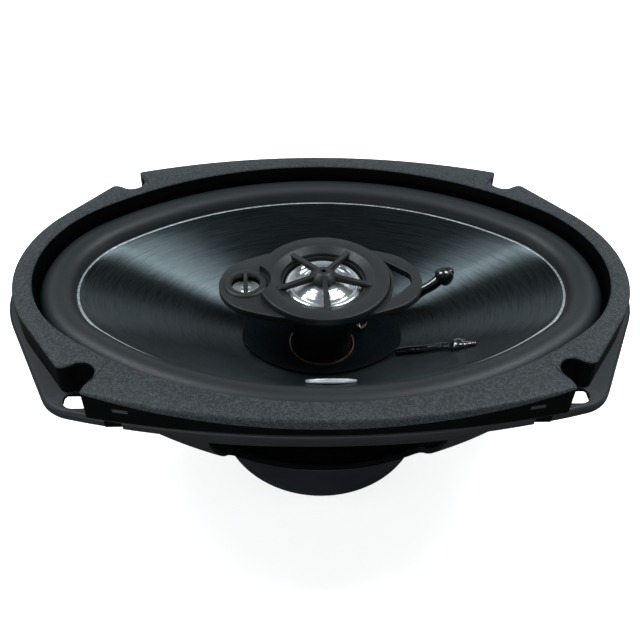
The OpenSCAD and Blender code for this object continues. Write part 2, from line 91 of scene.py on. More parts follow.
flange_top = basket_hi.z
ring_top = ring_hi.z
ring_open = 108.0
sheet = 1.2
bowl_a = 108.2
bowl_straight_z = -6.0
seat_r = 50.0
seat_round = 0.8
seat_z = basket_lo.z + sheet
cone_a = cone_hi.x - 0.3
neck_r = 14.8
neck_z = -29.3
former_r = former_hi.x
felt_t = 0.215
LEAD_ANGLE = radians(21.8)
EYELET_R = 55.6
BRIDGE_TURN = radians(3.0)
SUPER_X = -30.0
plate_z = 2.8
bezel_top = 8.4


# ---------- outline helpers ----------
def oval_point(a, ang):
    """Point of the four-arc oval of half length a whose normal is at ang."""
    c, s = abs(cos(ang)), abs(sin(ang))
    end_r = a - OVAL_END_X
    if atan2(s, c) <= OVAL_SPLIT:
        x, y = OVAL_END_X + end_r * c, end_r * s
    else:
        side_r = end_r + SIDE_EXTRA_R
        x, y = side_r * c, side_r * s - OVAL_SIDE_Y
    return (-x if cos(ang) < 0 else x, -y if sin(ang) < 0 else y)


def oval_angle(x, y):
    """Normal angle of the oval that passes through x, y."""
    ang = atan2(abs(y), abs(x) - OVAL_END_X)
    if ang > OVAL_SPLIT:
        ang = atan2(abs(y) + OVAL_SIDE_Y, abs(x))
    if x < 0:
        ang = pi - ang
    return -ang if y < 0 else ang


def oval_size(x, y):
    """Half length of the oval that passes through x, y."""
    if atan2(abs(y), abs(x) - OVAL_END_X) <= OVAL_SPLIT:
        return OVAL_END_X + hypot(abs(x) - OVAL_END_X, y)
    return hypot(x, abs(y) + OVAL_SIDE_Y) - SIDE_EXTRA_R + OVAL_END_X


def turns(n=AROUND):
    return [2 * pi * i / n for i in range(n)]


def parts(steps):
    """Even parts from 0 to 1."""
    return [k / steps for k in range(steps + 1)]


def oval_ring(a, z, angles=None):
    """Ring along the oval of half length a, through all turns or the given normal angles."""
    return [(*oval_point(a, t), z) for t in angles or turns()]


def mixed_ring(a, r, round_part, z):
    """Ring between the oval a and the circle r."""
    ring = []
    for t in turns():
        x, y = oval_point(a, t)
        ring.append((x + (r * cos(t) - x) * round_part,
                     y + (r * sin(t) - y) * round_part, z))
    return ring


def circle_ring(r, z, n=AROUND):
    return [(r * cos(t), r * sin(t), z) for t in turns(n)]


def level(outline, z):
    """The plan outline as a ring at height z."""
    return [(x, y, z) for x, y in outline]


def plan(ring):
    """The ring seen from above."""
    return [(x, y) for x, y, _ in ring]


def arc(cx, cy, r, start, end, steps):
    """Points of an arc, angles in degrees."""
    angles = [radians(start + (end - start) * t) for t in parts(steps)]
    return [(cx + r * cos(a), cy + r * sin(a)) for a in angles]


def rounded(points, radius, steps=6):
    """Open or closed outline with each corner turned into a small curve; the ends stay."""
    out = [points[0]]
    for before, corner, after in zip(points, points[1:], points[2:]):
        b, c, a = Vector(before), Vector(corner), Vector(after)
        cut_b = min(radius, (b - c).length * 0.49)
        cut_a = min(radius, (a - c).length * 0.49)
        start = c + (b - c).normalized() * cut_b
        end = c + (a - c).normalized() * cut_a
        out += [tuple(start * (1 - t) ** 2 + c * 2 * t * (1 - t) + end * t * t) for t in parts(steps)]
    out.append(points[-1])
    return out


def rounded_loop(points, radius):
    """Closed outline with round corners."""
    return rounded([points[-1], *points, points[0]], radius)[1:-1]


def four_quarters(q, left=None):
    """A quarter outline from +X to +Y, repeated in the other quarters; left is the -X side's own."""
    left = left or q
    return (list(q) + [(-x, y) for x, y in reversed(left[:-1])]
            + [(-x, -y) for x, y in left[1:]] + [(x, -y) for x, y in reversed(q[1:-1])])


def inset(outline, d):
    """Closed outline moved inward by d along its corners' normals."""
    out = []
    for (x, y), before, after in zip(outline, outline[-1:] + outline[:-1], outline[1:] + outline[:1]):
        along = (Vector(after) - Vector(before)).normalized()
        out.append((x - along.y * d, y + along.x * d))
    return out


def film(profile, thickness):
    """Closed profile of a thin film: its top line, then the same line lower."""
    return profile + [(r, z - thickness) for r, z in reversed(profile)]


def bisect(low, high, too_low):
    """The value between low and high at which too_low turns false."""
    for _ in range(30):
        middle = (low + high) / 2
        low, high = (middle, high) if too_low(middle) else (low, middle)
    return low


# ---------- mesh helpers ----------
def new_object(name, data):
    """Object that shows the data, in the scene."""
    obj = bpy.data.objects.new(name, data)
    bpy.context.scene.collection.objects.link(obj)
    return obj


def smooth(obj, angle=35):
    """Smooth shading, with edges sharper than angle kept crisp."""
    mesh = obj.data
    mesh.polygons.foreach_set("use_smooth", [True] * len(mesh.polygons))
    mesh.set_sharp_from_angle(angle=radians(angle))
    return obj


def edit(mesh, change):
    """Lets change work on the mesh as a bmesh."""
    bm = bmesh.new()
    bm.from_mesh(mesh)
    change(bm)
    bm.to_mesh(mesh)
    bm.free()
    return mesh


def show(name, mesh, angle=35):
    """Piece with the mesh, smooth but for its sharp edges."""
    return smooth(new_object(name, mesh), angle)


def mesh_piece(name, verts, faces, angle=35):
    mesh = bpy.data.meshes.new(name)
    mesh.from_pydata([tuple(c * MM for c in v) for v in verts], [], faces)
    edit(mesh, lambda bm: bmesh.ops.recalc_face_normals(bm, faces=bm.faces))
    return show(name, mesh, angle)


def loft(name, rings, closed=True, caps=False, angle=35):
    """Skin through rings, of which any may be a single point; closed joins the last to the first."""
    n = max(len(ring) for ring in rings)
    verts, index = [], []
    for ring in rings:
        index.append([len(verts) + i % len(ring) for i in range(n)])
        verts += ring
    faces = []
    for a, b in zip(index, index[1:] + index[:1] if closed else index[1:]):
        for i in range(n):
            k = (i + 1) % n
            faces.append(list(dict.fromkeys([a[i], a[k], b[k], b[i]])))
    if caps:
        faces += [index[0], index[-1]]
    return mesh_piece(name, verts, [face for face in faces if len(face) > 2], angle)


def revolve(name, profile, n=192, centre=(0, 0), closed=True, angle=35):
    """Round piece from (r, z) points; a point on the axis is one vertex."""
    cx, cy = centre
    rings = [[(cx + x, cy + y, h) for x, y, h in circle_ring(r, z, n if r else 1)] for r, z in profile]
    return loft(name, rings, closed, angle=angle)


def evaluated_mesh(obj):
    """New mesh with the shape of the object's curve or modifiers."""
    bpy.context.view_layer.update()
    return bpy.data.meshes.new_from_object(obj.evaluated_get(bpy.context.evaluated_depsgraph_get()))


def apply_all(obj):
    """Bakes the piece's modifiers into its mesh."""
    old, obj.data = obj.data, evaluated_mesh(obj)
    obj.modifiers.clear()
    bpy.data.meshes.remove(old)
    return obj


def curve_mesh(name, curve):
    """Mesh of the curve's solid shape."""
    shape = new_object(name, curve)
    mesh = evaluated_mesh(shape)
    bpy.data.objects.remove(shape)
    mesh.name = name
    return mesh


def cut(obj, *cutters):
    """Subtracts the cutters from the piece and removes them."""
    for c in cutters:
        m = obj.modifiers.new("cut", "BOOLEAN")
        m.operation = "DIFFERENCE"
        m.solver = "EXACT"
        m.object = c
    apply_all(obj)
    for c in cutters:
        bpy.data.objects.remove(c)
    return smooth(obj)


def plate(name, outlines, z_low, z_high, edge=0.4, segments=3):
    """Flat piece from closed outlines, the inner ones holes, with rounded edges."""
    curve = bpy.data.curves.new(name, "CURVE")
    curve.dimensions = "2D"
    curve.fill_mode = "BOTH"
    for outline in outlines:
        spline = curve.splines.new("POLY")
        spline.points.add(len(outline) - 1)
        for point, (x, y) in zip(spline.points, outline):
            point.co = (x * MM, y * MM, 0, 1)
        spline.use_cyclic_u = True
    curve.extrude = ((z_high - z_low) / 2 - edge) * MM
    curve.bevel_depth = edge * MM
    curve.bevel_resolution = segments
    curve.offset = -edge * MM
    mesh = curve_mesh(name, curve)
    mesh.transform(Matrix.Translation((0, 0, (z_low + z_high) / 2 * MM)))
    edit(mesh, lambda bm: bmesh.ops.remove_doubles(bm, verts=bm.verts, dist=1e-6))
    return show(name, mesh)


def block(name, lo, hi, edge=0.3):
    """Box with rounded edges between two corners."""
    outline = [(lo[0], lo[1]), (hi[0], lo[1]), (hi[0], hi[1]), (lo[0], hi[1])]
    return plate(name, [outline], lo[2], hi[2], edge)


def tube_path(name, path, radius, sides, steps):
    """Round tube on a smooth curve through the path."""
    curve = bpy.data.curves.new(name, "CURVE")
    curve.dimensions = "3D"
    curve.bevel_depth = MM
    curve.bevel_resolution = max(1, sides // 4 - 1)
    curve.use_fill_caps = True
    spline = curve.splines.new("NURBS")
    spline.points.add(len(path) - 1)
    for point, p in zip(spline.points, path):
        point.co = (*(c * MM for c in p), 1)
        point.radius = radius
    spline.order_u = min(4, len(path))
    spline.use_endpoint_u = True
    spline.resolution_u = steps
    return show(name, curve_mesh(name, curve), 60)


def turned(obj, angle=BRIDGE_TURN, centre=(0, 0, 0)):
    """Turns the piece's mesh about the vertical through centre, in millimetres."""
    c = Vector(centre) * MM
    obj.data.transform(Matrix.Translation(c) @ Matrix.Rotation(angle, 4, "Z")
                       @ Matrix.Translation(-c))
    return obj


def moved(obj, place, angle, axis="X"):
    """Turns the piece's mesh about the axis through the origin, then moves it to place."""
    obj.data.transform(Matrix.Translation(Vector(place) * MM) @ Matrix.Rotation(angle, 4, axis))
    return obj


def join(name, pieces):
    """Joins pieces into one mesh."""
    def add_all(bm):
        for p in pieces:
            bm.from_mesh(p.data)
            bpy.data.objects.remove(p)

    return show(name, edit(bpy.data.meshes.new(name), add_all))


# ---------- material helpers ----------
class Nodes:
    """A Principled material whose details are added one at a time."""

    def __init__(self, name, rough=0.5, metallic=0.0, specular=0.5, **fixed):
        self.mat = bpy.data.materials.new(name)
        self.mat.use_nodes = True
        self.tree = self.mat.node_tree
        self.shader = self.tree.nodes["Principled BSDF"]
        self.set("Roughness", rough)
        self.set("Metallic", metallic)
        self.set("Specular IOR Level", specular)
        for key, value in fixed.items():
            self.set(key.replace("_", " "), value)
        self.coords = self.add("TexCoord", "Object")

    def feed(self, socket, value):
        """Wires the socket to another node's output, or sets its number, vector or colour."""
        if isinstance(value, bpy.types.NodeSocket):
            self.tree.links.new(value, socket)
        else:
            socket.default_value = (*value, 1) if socket.type == "RGBA" else value

    def set(self, socket, value):
        self.feed(self.shader.inputs[socket], value)

    def add(self, kind, output, inputs=None, **settings):
        """Adds a node, feeds its inputs and gives one of its outputs."""
        node = self.tree.nodes.new("ShaderNode" + kind)
        for key, value in settings.items():
            setattr(node, key, value)
        for socket, value in (inputs or {}).items():
            self.feed(node.inputs[socket], value)
        return node.outputs[output]

    def texture(self, kind, output, inputs, **settings):
        return self.add(kind, output, {"Vector": self.coords, **inputs}, **settings)

    def noise(self, scale, detail=4, rough=0.6, coords=None):
        return self.texture("TexNoise", "Fac", {"Vector": coords or self.coords, "Scale": scale,
                                                "Detail": detail, "Roughness": rough})

    def cells(self, scale, output="Distance", feature="F1"):
        """Cells of the given scale; their Color output is random for each cell."""
        return self.texture("TexVoronoi", output, {"Scale": scale}, feature=feature)

    def stretched(self, *scale):
        return self.texture("Mapping", "Vector", {"Scale": scale})

    def ramp(self, fac, dark, light, low=0.3, high=0.7):
        """Colour that runs from dark to light as fac does between low and high."""
        colour = self.add("ValToRGB", "Color", {"Fac": fac})
        for stop, position, tone in zip(colour.node.color_ramp.elements, (low, high), (dark, light)):
            stop.position = position
            stop.color = (*tone, 1)
        return colour

    def between(self, fac, low, high, from_low=0.3, from_high=0.7):
        """Number that runs from low to high as fac does between its own limits."""
        return self.add("MapRange", "Result", {"Value": fac, "From Min": from_low, "From Max": from_high,
                                               "To Min": low, "To Max": high})

    def math(self, operation, a, b):
        return self.add("Math", "Value", {0: a, 1: b}, operation=operation)

    def blend(self, fac, a, b):
        """Mixes two colours by fac."""
        return self.add("Mix", 2, {"Factor": fac, 6: a, 7: b}, data_type="RGBA")

    def tones(self, fac, dark, light, low=0.3, high=0.7):
        """Base colour between dark and light, by fac."""
        self.set("Base Color", self.ramp(fac, dark, light, low, high))

    def bump(self, height, depth, strength=1.0):
        """Surface relief on top of any earlier one; depth is in millimetres."""
        inputs = {"Strength": strength, "Distance": depth * MM, "Height": height}
        normal = self.shader.inputs["Normal"]
        if normal.is_linked:
            inputs["Normal"] = normal.links[0].from_socket
        self.set("Normal", self.add("Bump", "Normal", inputs))

    def finish(self, grain, low, high, depth, strength):
        """One grain for both the roughness, from low to high, and the relief."""
        self.set("Roughness", self.between(grain, low, high))
        self.bump(grain, depth, strength)


def grained_plastic():
    """The trim ring's top: fine leather grain, each cell a little lighter or darker."""
    m = Nodes("grained_plastic", rough=0.52, specular=0.24)
    grain = m.cells(1500, feature="SMOOTH_F1")
    fine = m.noise(3200, 3)
    base = m.ramp(m.noise(42), (0.0095, 0.0120, 0.0135), (0.0125, 0.0165, 0.0175))
    paler = m.between(m.cells(2000, "Color"), 0, 0.5, 0.35, 0.85)
    m.set("Base Color", m.blend(paler, base, (0.060, 0.070, 0.076)))
    m.set("Roughness", m.between(grain, 0.46, 0.64, 0.1, 0.6))
    m.bump(grain, 0.09, 0.9)
    m.bump(fine, 0.02, 0.5)
    return m.mat


def moulded_plastic(name="moulded_plastic", rough=0.42, dark=0.0075, light=0.0125, specular=0.26):
    """Satin moulded parts: a faint orange peel and slight changes of gloss."""
    m = Nodes(name, rough=rough, specular=specular)
    m.tones(m.noise(60, 3), (dark, dark * 1.14, dark * 1.22), (light, light * 1.16, light * 1.24))
    m.finish(m.noise(900, 3), rough - 0.05, rough + 0.08, 0.012, 0.5)
    return m.mat


def pressed_steel():
    """Black coat on steel sheet: slight waviness and a fine powder texture."""
    m = Nodes("pressed_steel", rough=0.5, specular=0.24)
    wide = m.noise(35)
    m.tones(wide, (0.0075, 0.0082, 0.0096), (0.0130, 0.0138, 0.0155))
    m.bump(wide, 0.05, 0.5)
    m.finish(m.noise(1400, 3), 0.44, 0.6, 0.02, 0.5)
    return m.mat


def surround_rubber():
    """Semi-matte rubber, a little lighter in wide patches."""
    m = Nodes("surround_rubber", rough=0.46, specular=0.26)
    m.tones(m.noise(28, 5), (0.0065, 0.0085, 0.0100), (0.0100, 0.0130, 0.0145))
    m.finish(m.noise(1800), 0.40, 0.54, 0.018, 0.6)
    return m.mat


def brushed_cone():
    """Dark metallic film with fine brushing that follows the cone's rim."""
    m = Nodes("brushed_cone", rough=0.30, metallic=0.85, specular=0.3, Anisotropic=0.9,
              Anisotropic_Rotation=0.25)
    brush = m.add("Attribute", "Vector", attribute_name="brush")
    streaks = m.noise(1.0, 5, 0.7, brush)
    hair = m.noise(3.1, 4, 0.7, brush)
    mixed = m.math("ADD", m.math("MULTIPLY", streaks, 0.6), m.math("MULTIPLY", hair, 0.4))
    m.tones(mixed, (0.008, 0.0125, 0.0145), (0.049, 0.060, 0.064), 0.36, 0.64)
    m.set("Roughness", m.between(mixed, 0.25, 0.36, 0.36, 0.64))
    m.bump(mixed, 0.008, 0.3)
    m.set("Tangent", m.add("Tangent", "Tangent", direction_type="RADIAL", axis="Z"))
    return m.mat


def painted_rim_highlight():
    """Lighter metallic film for the cone's rim: a painted highlight along its edge."""
    m = Nodes("painted_rim_highlight", rough=0.35, metallic=0.7)
    fine = m.noise(800, 3)
    m.tones(fine, (0.24, 0.26, 0.27), (0.42, 0.44, 0.45))
    m.set("Roughness", m.between(fine, 0.3, 0.45))
    return m.mat


def felt():
    """Bluish black felt with loose fibres."""
    m = Nodes("felt", rough=1.0, specular=0.02, Sheen_Weight=0.04, Sheen_Roughness=0.5)
    fibre = m.noise(900, 8, 0.8)
    m.tones(fibre, (0.002, 0.004, 0.006), (0.007, 0.013, 0.018), 0.35)
    m.bump(m.noise(260), 0.4, 0.5)
    m.bump(fibre, 0.2, 0.8)
    return m.mat


def copper(name="copper", tint=(0.55, 0.25, 0.12), rough=0.35):
    """Copper foil or wire with fine turned lines and slightly darker patches."""
    m = Nodes(name, rough=rough, metallic=0.9)
    patch = m.noise(160)
    m.tones(patch, [c * 0.45 for c in tint], tint, 0.3, 0.65)
    m.set("Roughness", m.between(patch, rough - 0.08, rough + 0.15))
    m.bump(m.noise(1, 3, coords=m.stretched(60, 60, 2600)), 0.03, 0.5)
    return m.mat


def glossy_glue():
    """Thick black adhesive that dried with a wet shine."""
    m = Nodes("glossy_glue", rough=0.16, specular=0.6, Coat_Weight=0.5, Coat_Roughness=0.06)
    lumps = m.noise(420, 3)
    m.tones(lumps, (0.003, 0.004, 0.006), (0.008, 0.010, 0.013))
    m.finish(lumps, 0.10, 0.30, 0.08, 0.5)
    return m.mat


def silver_print():
    """Satin silver badge."""
    m = Nodes("silver_print", rough=0.36, metallic=0.55)
    m.tones(m.noise(300, 3), (0.52, 0.54, 0.56), (0.72, 0.74, 0.76))
    m.finish(m.noise(1500, 3), 0.28, 0.44, 0.01, 0.4)
    return m.mat


def mirror_film():
    """Metallised film: bright, with faint press marks."""
    m = Nodes("mirror_film", rough=0.14, metallic=0.62)
    press = m.noise(240, 3)
    m.tones(press, (0.44, 0.47, 0.49), (0.58, 0.61, 0.63))
    m.finish(press, 0.10, 0.18, 0.03, 0.35)
    return m.mat


def boot_rubber():
    """Smooth moulded rubber boot with faint scuffs."""
    m = Nodes("boot_rubber", rough=0.5, specular=0.4)
    m.tones(m.noise(50), (0.004, 0.005, 0.007), (0.009, 0.011, 0.014))
    m.finish(m.noise(1, 5, 0.7, m.stretched(120, 120, 900)), 0.42, 0.6, 0.02, 0.4)
    return m.mat


def woven_cloth():
    """Resin-dipped cloth of the spider, woven in fine threads."""
    m = Nodes("woven_cloth", rough=0.8, specular=0.25, Sheen_Weight=0.2)
    weave = [m.texture("TexWave", "Fac", {"Scale": 260}, bands_direction=axis) for axis in "XY"]
    threads = m.math("MULTIPLY", *weave)
    m.set("Base Color", m.blend(threads, (0.20, 0.12, 0.03), (0.62, 0.42, 0.14)))
    m.bump(threads, 0.12, 0.8)
    return m.mat


def zinc():
    """Zinc plate with turning marks."""
    m = Nodes("zinc", rough=0.32, metallic=1.0)
    m.tones(m.noise(55, 5), (0.42, 0.41, 0.37), (0.66, 0.66, 0.64))
    m.finish(m.noise(1, 4, 0.6, m.stretched(40, 40, 1500)), 0.24, 0.46, 0.02, 0.5)
    return m.mat


def ferrite():
    """Sintered ferrite: dark grey with small pores."""
    m = Nodes("ferrite", rough=0.75, specular=0.3)
    m.tones(m.noise(130, 6), (0.018, 0.018, 0.020), (0.045, 0.044, 0.046))
    m.bump(m.cells(900), 0.12, 0.6)
    return m.mat


def plated(name="plated_steel", tint=(0.70, 0.70, 0.71), rough=0.25):
    """Bright plating with fine handling marks."""
    m = Nodes(name, rough=rough, metallic=1.0)
    m.tones(m.noise(90, 3), [c * 0.75 for c in tint], tint)
    m.finish(m.noise(700, 5, 0.7), rough - 0.08, rough + 0.15, 0.015, 0.4)
    return m.mat


def fibre_board():
    """Pressed brown board with flecks."""
    m = Nodes("fibre_board", rough=0.62, specular=0.35)
    flecks = m.noise(1, 6, 0.7, m.stretched(300, 900, 300))
    m.tones(flecks, (0.10, 0.045, 0.02), (0.24, 0.12, 0.055))
    m.bump(flecks, 0.04, 0.6)
    return m.mat


def tinsel():
    """Braided tinsel: copper strands crossing over a cotton core."""
    m = Nodes("tinsel", rough=0.45, metallic=0.7)
    strands = m.noise(1, 3, 0.6, m.stretched(1400, 5200, 5200))
    m.tones(strands, (0.12, 0.05, 0.02), (0.66, 0.38, 0.20), 0.35, 0.6)
    m.finish(strands, 0.32, 0.6, 0.15, 0.8)
    return m.mat


def sleeve():
    """Shrunk blue sleeve on the capacitor."""
    m = Nodes("sleeve", rough=0.22, specular=0.5)
    soft = m.noise(240, 3)
    m.tones(soft, (0.012, 0.018, 0.075), (0.022, 0.032, 0.12))
    m.finish(soft, 0.16, 0.34, 0.05, 0.4)
    return m.mat


def foam():
    """Open-cell gasket foam."""
    m = Nodes("foam", rough=0.95, specular=0.15)
    open_cells = m.cells(1300)
    m.tones(open_cells, (0.003, 0.003, 0.003), (0.022, 0.022, 0.023), 0.1, 0.6)
    m.bump(open_cells, 0.3, 0.8)
    return m.mat


def studio_paper():
    """Plain pale floor; it sends little light back up, so the object's dark sides stay dark."""
    m = Nodes("studio_paper", rough=0.9, specular=0.1)
    seen = m.add("LightPath", "Is Camera Ray")
    paper = m.ramp(m.noise(6, 3), (0.88, 0.88, 0.88), (0.92, 0.92, 0.92))
    m.set("Base Color", m.blend(seen, (0.10, 0.10, 0.10), paper))
    m.set("Emission Color", (1, 1, 1))
    m.set("Emission Strength", m.between(seen, 0.0, 0.75, 0, 1))
    return m.mat


MATERIALS = {
    "painted_steel": pressed_steel(), "foam": foam(), "ring_plastic": grained_plastic(),
    "surround_rubber": surround_rubber(), "cone_film": brushed_cone(), "felt": felt(),
    "former_foil": copper("former_foil", (0.92, 0.58, 0.44), 0.5), "copper_wire": copper(),
    "black_glue": glossy_glue(), "badge_silver": silver_print(), "damper_cloth": woven_cloth(),
    "moulded_plastic": moulded_plastic(), "zinc_plate": zinc(), "ferrite": ferrite(),
    "neodymium": plated("nickel", (0.74, 0.72, 0.68), 0.18), "boot_rubber": boot_rubber(),
    "plated_steel": plated(), "mirror_film": mirror_film(),
    "piezo_brass": plated("piezo_brass", (0.72, 0.52, 0.22), 0.3), "fibre_board": fibre_board(),
    "tinned_brass": plated("tinned_brass", (0.76, 0.75, 0.70), 0.28), "tinsel_braid": tinsel(),
    "capacitor_sleeve": sleeve(),
}
# Smooth plastic made near-black with almost no gloss: painted shade for the ring's skirt, its under-faces,
# its smooth upright walls and the hooks.
painted_shade_black = moulded_plastic("painted_shade_black", 0.5, 0.0006, 0.0012, 0.04)
# Paler grey: painted light for the skirt tabs' upright faces.
tab_painted_light = moulded_plastic("tab_painted_light", 0.5, 0.022, 0.030)
bare_wire = copper("bare_wire", (0.95, 0.72, 0.50), 0.3)
# Lighter film for the cone's rim: a painted highlight.
rim_highlight_film = painted_rim_highlight()


def stand_for(piece, slot, *nodes, body=FRAME_BODY, material=None):
    """The piece takes the slot's material, rides on the body and replaces the nodes."""
    piece.data.materials.clear()
    piece.data.materials.append(material or MATERIALS[slot])
    if body:
        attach(piece, body)
    if nodes:
        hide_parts(*nodes)
    return piece


def bend_with_cone(piece, weight):
    """The piece joins the frame to the cone: its placing is baked into its mesh, and weight is worked out
    for each point, in mm, but moves none.
    """
    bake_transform(piece)
    for v in piece.data.vertices:
        k = min(1.0, max(0.0, weight(v.co / MM)))
    return piece


# ---------- trim ring ----------
RING_END_R = 56.0
LIP_CORNER = (88.4, 54.7)
TIP = (78.8, 66.0)
NOTCH = (80.6, 57.5)
NOTCH_R = 5.0
LIP_H = 4.2
WEDGE_R = 1000.0
HOOK_X = 69.9
HOOK_W = 6.0
HOOK_IN = 9.5
SKIRT_WINDOW = (66.5, 68.2)
SKIRT_WINDOW_Z = (flange_top + 4.5, flange_top + 6.1)
SKIRT_TILT = radians(10.6)
CORNERS = [(sx, sy) for sx in (-1, 1) for sy in (-1, 1)]


def side_arc(half_w, steps):
    """The long side from the tip to the middle, bulging to half_w."""
    rise = half_w - TIP[1]
    r = (TIP[0] ** 2 + rise ** 2) / (2 * rise)
    xs = [TIP[0] * (1 - t) for t in parts(steps)]
    return [(x, half_w - r + sqrt(r * r - x * x)) for x in xs]


def ring_outline(half_w):
    """Plan of the ring, with a notch round each screw."""
    end = arc(ring_hi.x - RING_END_R, 0, RING_END_R, 0, 36, 40)
    chamfer = [tuple(Vector(end[-1]).lerp(Vector(LIP_CORNER), t)) for t in parts(12)[1:-1]]
    corner = rounded([chamfer[-1], LIP_CORNER, (86.4, 55.0), (84.2, 53.96)], 1.2, 5)
    notch = arc(*NOTCH, NOTCH_R, -45, -216, 26)
    side = side_arc(half_w, 60)
    out = rounded([notch[-1], (78.2, 63.2), TIP, side[2]], 1.0, 5)
    return four_quarters(end + chamfer + corner[1:-1] + notch + out[1:-1] + side[3:])


def lip_under(x):
    """Height of the lip's underside: the lip thins towards the corners."""
    return min(ring_top - 1.1, ring_top - LIP_H + WEDGE_R - sqrt(WEDGE_R ** 2 - x * x))


def skirt_block(name, sx, sy, half_w, z_low, z_high, proud):
    """Block in the skirt's moulding window, turned to lie along the skirt."""
    x, y = SKIRT_WINDOW
    tab = block(name, (x - half_w, y - 1.4, z_low), (x + half_w, y + proud, z_high), 0.15)
    turned(tab, -SKIRT_TILT, (x, y, 0))
    tab.data.transform(Matrix.Diagonal((sx, sy, 1, 1)))
    if sx * sy < 0:
        tab.data.flip_normals()
    return tab


def trim_ring():
    """The oval ring: a grained lip over a smooth skirt; the skirt, the lip's underside and the smooth
    upright walls take painted shade.
    """
    lip, skirt = ring_outline(ring_hi.y), ring_outline(basket_hi.y - 0.5)
    angles = [oval_angle(x, y) for x, y in lip]
    fillet = 0.9
    bend = [(fillet * (1 - cos(a)), fillet * (1 - sin(a))) for a in (pi / 2 * t for t in parts(4))]
    rings = [level(skirt, flange_top),
             [(x, y, lip_under(x)) for x, y in skirt],
             [(x, y, lip_under(x)) for x, y in inset(lip, 0.3)],
             [(x, y, lip_under(x) + 0.3) for x, y in lip]]
    rings += [level(inset(lip, across), ring_top - down) for across, down in bend]
    rings += [oval_ring(ring_open + down, ring_top - across, angles) for across, down in bend]
    foot = [(0, 1.2), (4, 1.2), (4, 0)]
    rings += [oval_ring(ring_open + out, flange_top + up, angles) for out, up in foot]
    ring = loft("trim_ring_body", rings, angle=50)
    cut(ring, *(skirt_block("window", sx, sy, HOOK_W / 2 - 0.4, *SKIRT_WINDOW_Z, 3.0)
                for sx, sy in CORNERS))
    stand_for(ring, "ring_plastic", "trim_ring")
    ring.data.materials.append(painted_shade_black)
    # Faces below the lip, faces turned down and the smooth upright walls take the near-black material:
    # painted shade.
    for p in ring.data.polygons:
        x, y, z = p.center / MM
        in_notch = hypot(abs(x) - NOTCH[0], abs(y) - NOTCH[1]) < NOTCH_R + 0.6
        shaded_smooth_side = oval_size(x, y) < ring_open + 0.3 or abs(x) > TIP[0] or in_notch
        under = z < lip_under(x) - 0.02 or p.normal.z < -0.6
        p.material_index = int(under or (abs(p.normal.z) < 0.3 and shaded_smooth_side))
    return ring


def hook_block(name, corner, inward, half_x, half_y, z_low, z_high, edge):
    """Block at a corner's hook, inward of the flange's long side."""
    x, y = corner[0] * HOOK_X, corner[1] * (basket_hi.y - inward)
    return block(name, (x - half_x, y - half_y, z_low), (x + half_x, y + half_y, z_high), edge)


def ring_hooks():
    """Snap hooks that hold the ring in the flange's rim: a neck and a barb each."""
    hooks = []
    half = HOOK_W / 2 - 0.3
    for corner in CORNERS:
        hooks.append(hook_block("hook", corner, HOOK_IN, half, 0.7, 0.15, flange_top + 0.9, 0.2))
        hooks.append(hook_block("hook", corner, HOOK_IN - 0.7, half, 1.4, 0.15, 0.75 * flange_top, 0.3))
    # The hooks take the near-black material: painted shade in the dark notch round them.
    return stand_for(join("trim_ring_hooks", hooks), "ring_plastic", material=painted_shade_black)


def skirt_tabs():
    """Tabs that close the moulding windows in the ring's skirt, in a paler grey: painted light on their dim
    upright faces.
    """
    low, high = SKIRT_WINDOW_Z
    tabs = [skirt_block("tab", sx, sy, HOOK_W / 2 - 0.45, low + 0.05, high - 0.05, 0.4)
            for sx, sy in CORNERS]
    return stand_for(join("skirt_tabs", tabs), "ring_plastic", material=tab_painted_light)


# ---------- flange and basket ----------
FLANGE_END_R = 44.8
FLANGE_CORNER = (81.5, 48.7)
FLANGE_CORNER_R = 15.9
FLANGE_SIDE_R = 335.0
FLANGE_BEND = (27.7, 75.7)
SLOT = (slots["spacing_x_mm"] / 2, slots["spacing_y_mm"] / 2)
SLOT_R = slots["hole_r_mm"]
SLOT_HALF = slots["slot_length_mm"] / 2
WINDOW_FOOT_Z = -37.0
SIDE_WINDOW_FOOT = 36.0
SIDE_WINDOW_TOP = 41.2
SIDE_ARCH = (-162.0, 155.0)
MOTOR_HOLE_R = 18.0
BRACKET_W = 12.4


def flange_outline():
    """Plan of the flange: an end arc, a corner arc and a long-side arc in each quarter."""
    return four_quarters(
        arc(basket_hi.x - FLANGE_END_R, 0, FLANGE_END_R, 0, FLANGE_BEND[0], 30)
        + arc(*FLANGE_CORNER, FLANGE_CORNER_R, *FLANGE_BEND, 24)
        + arc(0, basket_hi.y - FLANGE_SIDE_R, FLANGE_SIDE_R, FLANGE_BEND[1], 90, 50)[1:])


def slot_cutter(sx, sy):
    """Cutter for the mounting slot in one ear."""
    x, y = SLOT[0] * sx, SLOT[1] * sy
    run = SLOT_HALF - SLOT_R
    outline = arc(x + run, y, SLOT_R, -90, 90, 16) + arc(x - run, y, SLOT_R, 90, 270, 16)
    return plate("slot", [outline], -1, flange_top + 1, 0.05, 1)


def hook_cutters(corner):
    """Slot for a hook through the flange, open through the lower part of its rim."""
    return [hook_block("slot", corner, HOOK_IN, HOOK_W / 2, 0.9, -1, flange_top + 1, 0.1),
            hook_block("notch", corner, HOOK_IN - 1.9, HOOK_W / 2, 2.6, -1, 0.8 * flange_top, 0.1)]


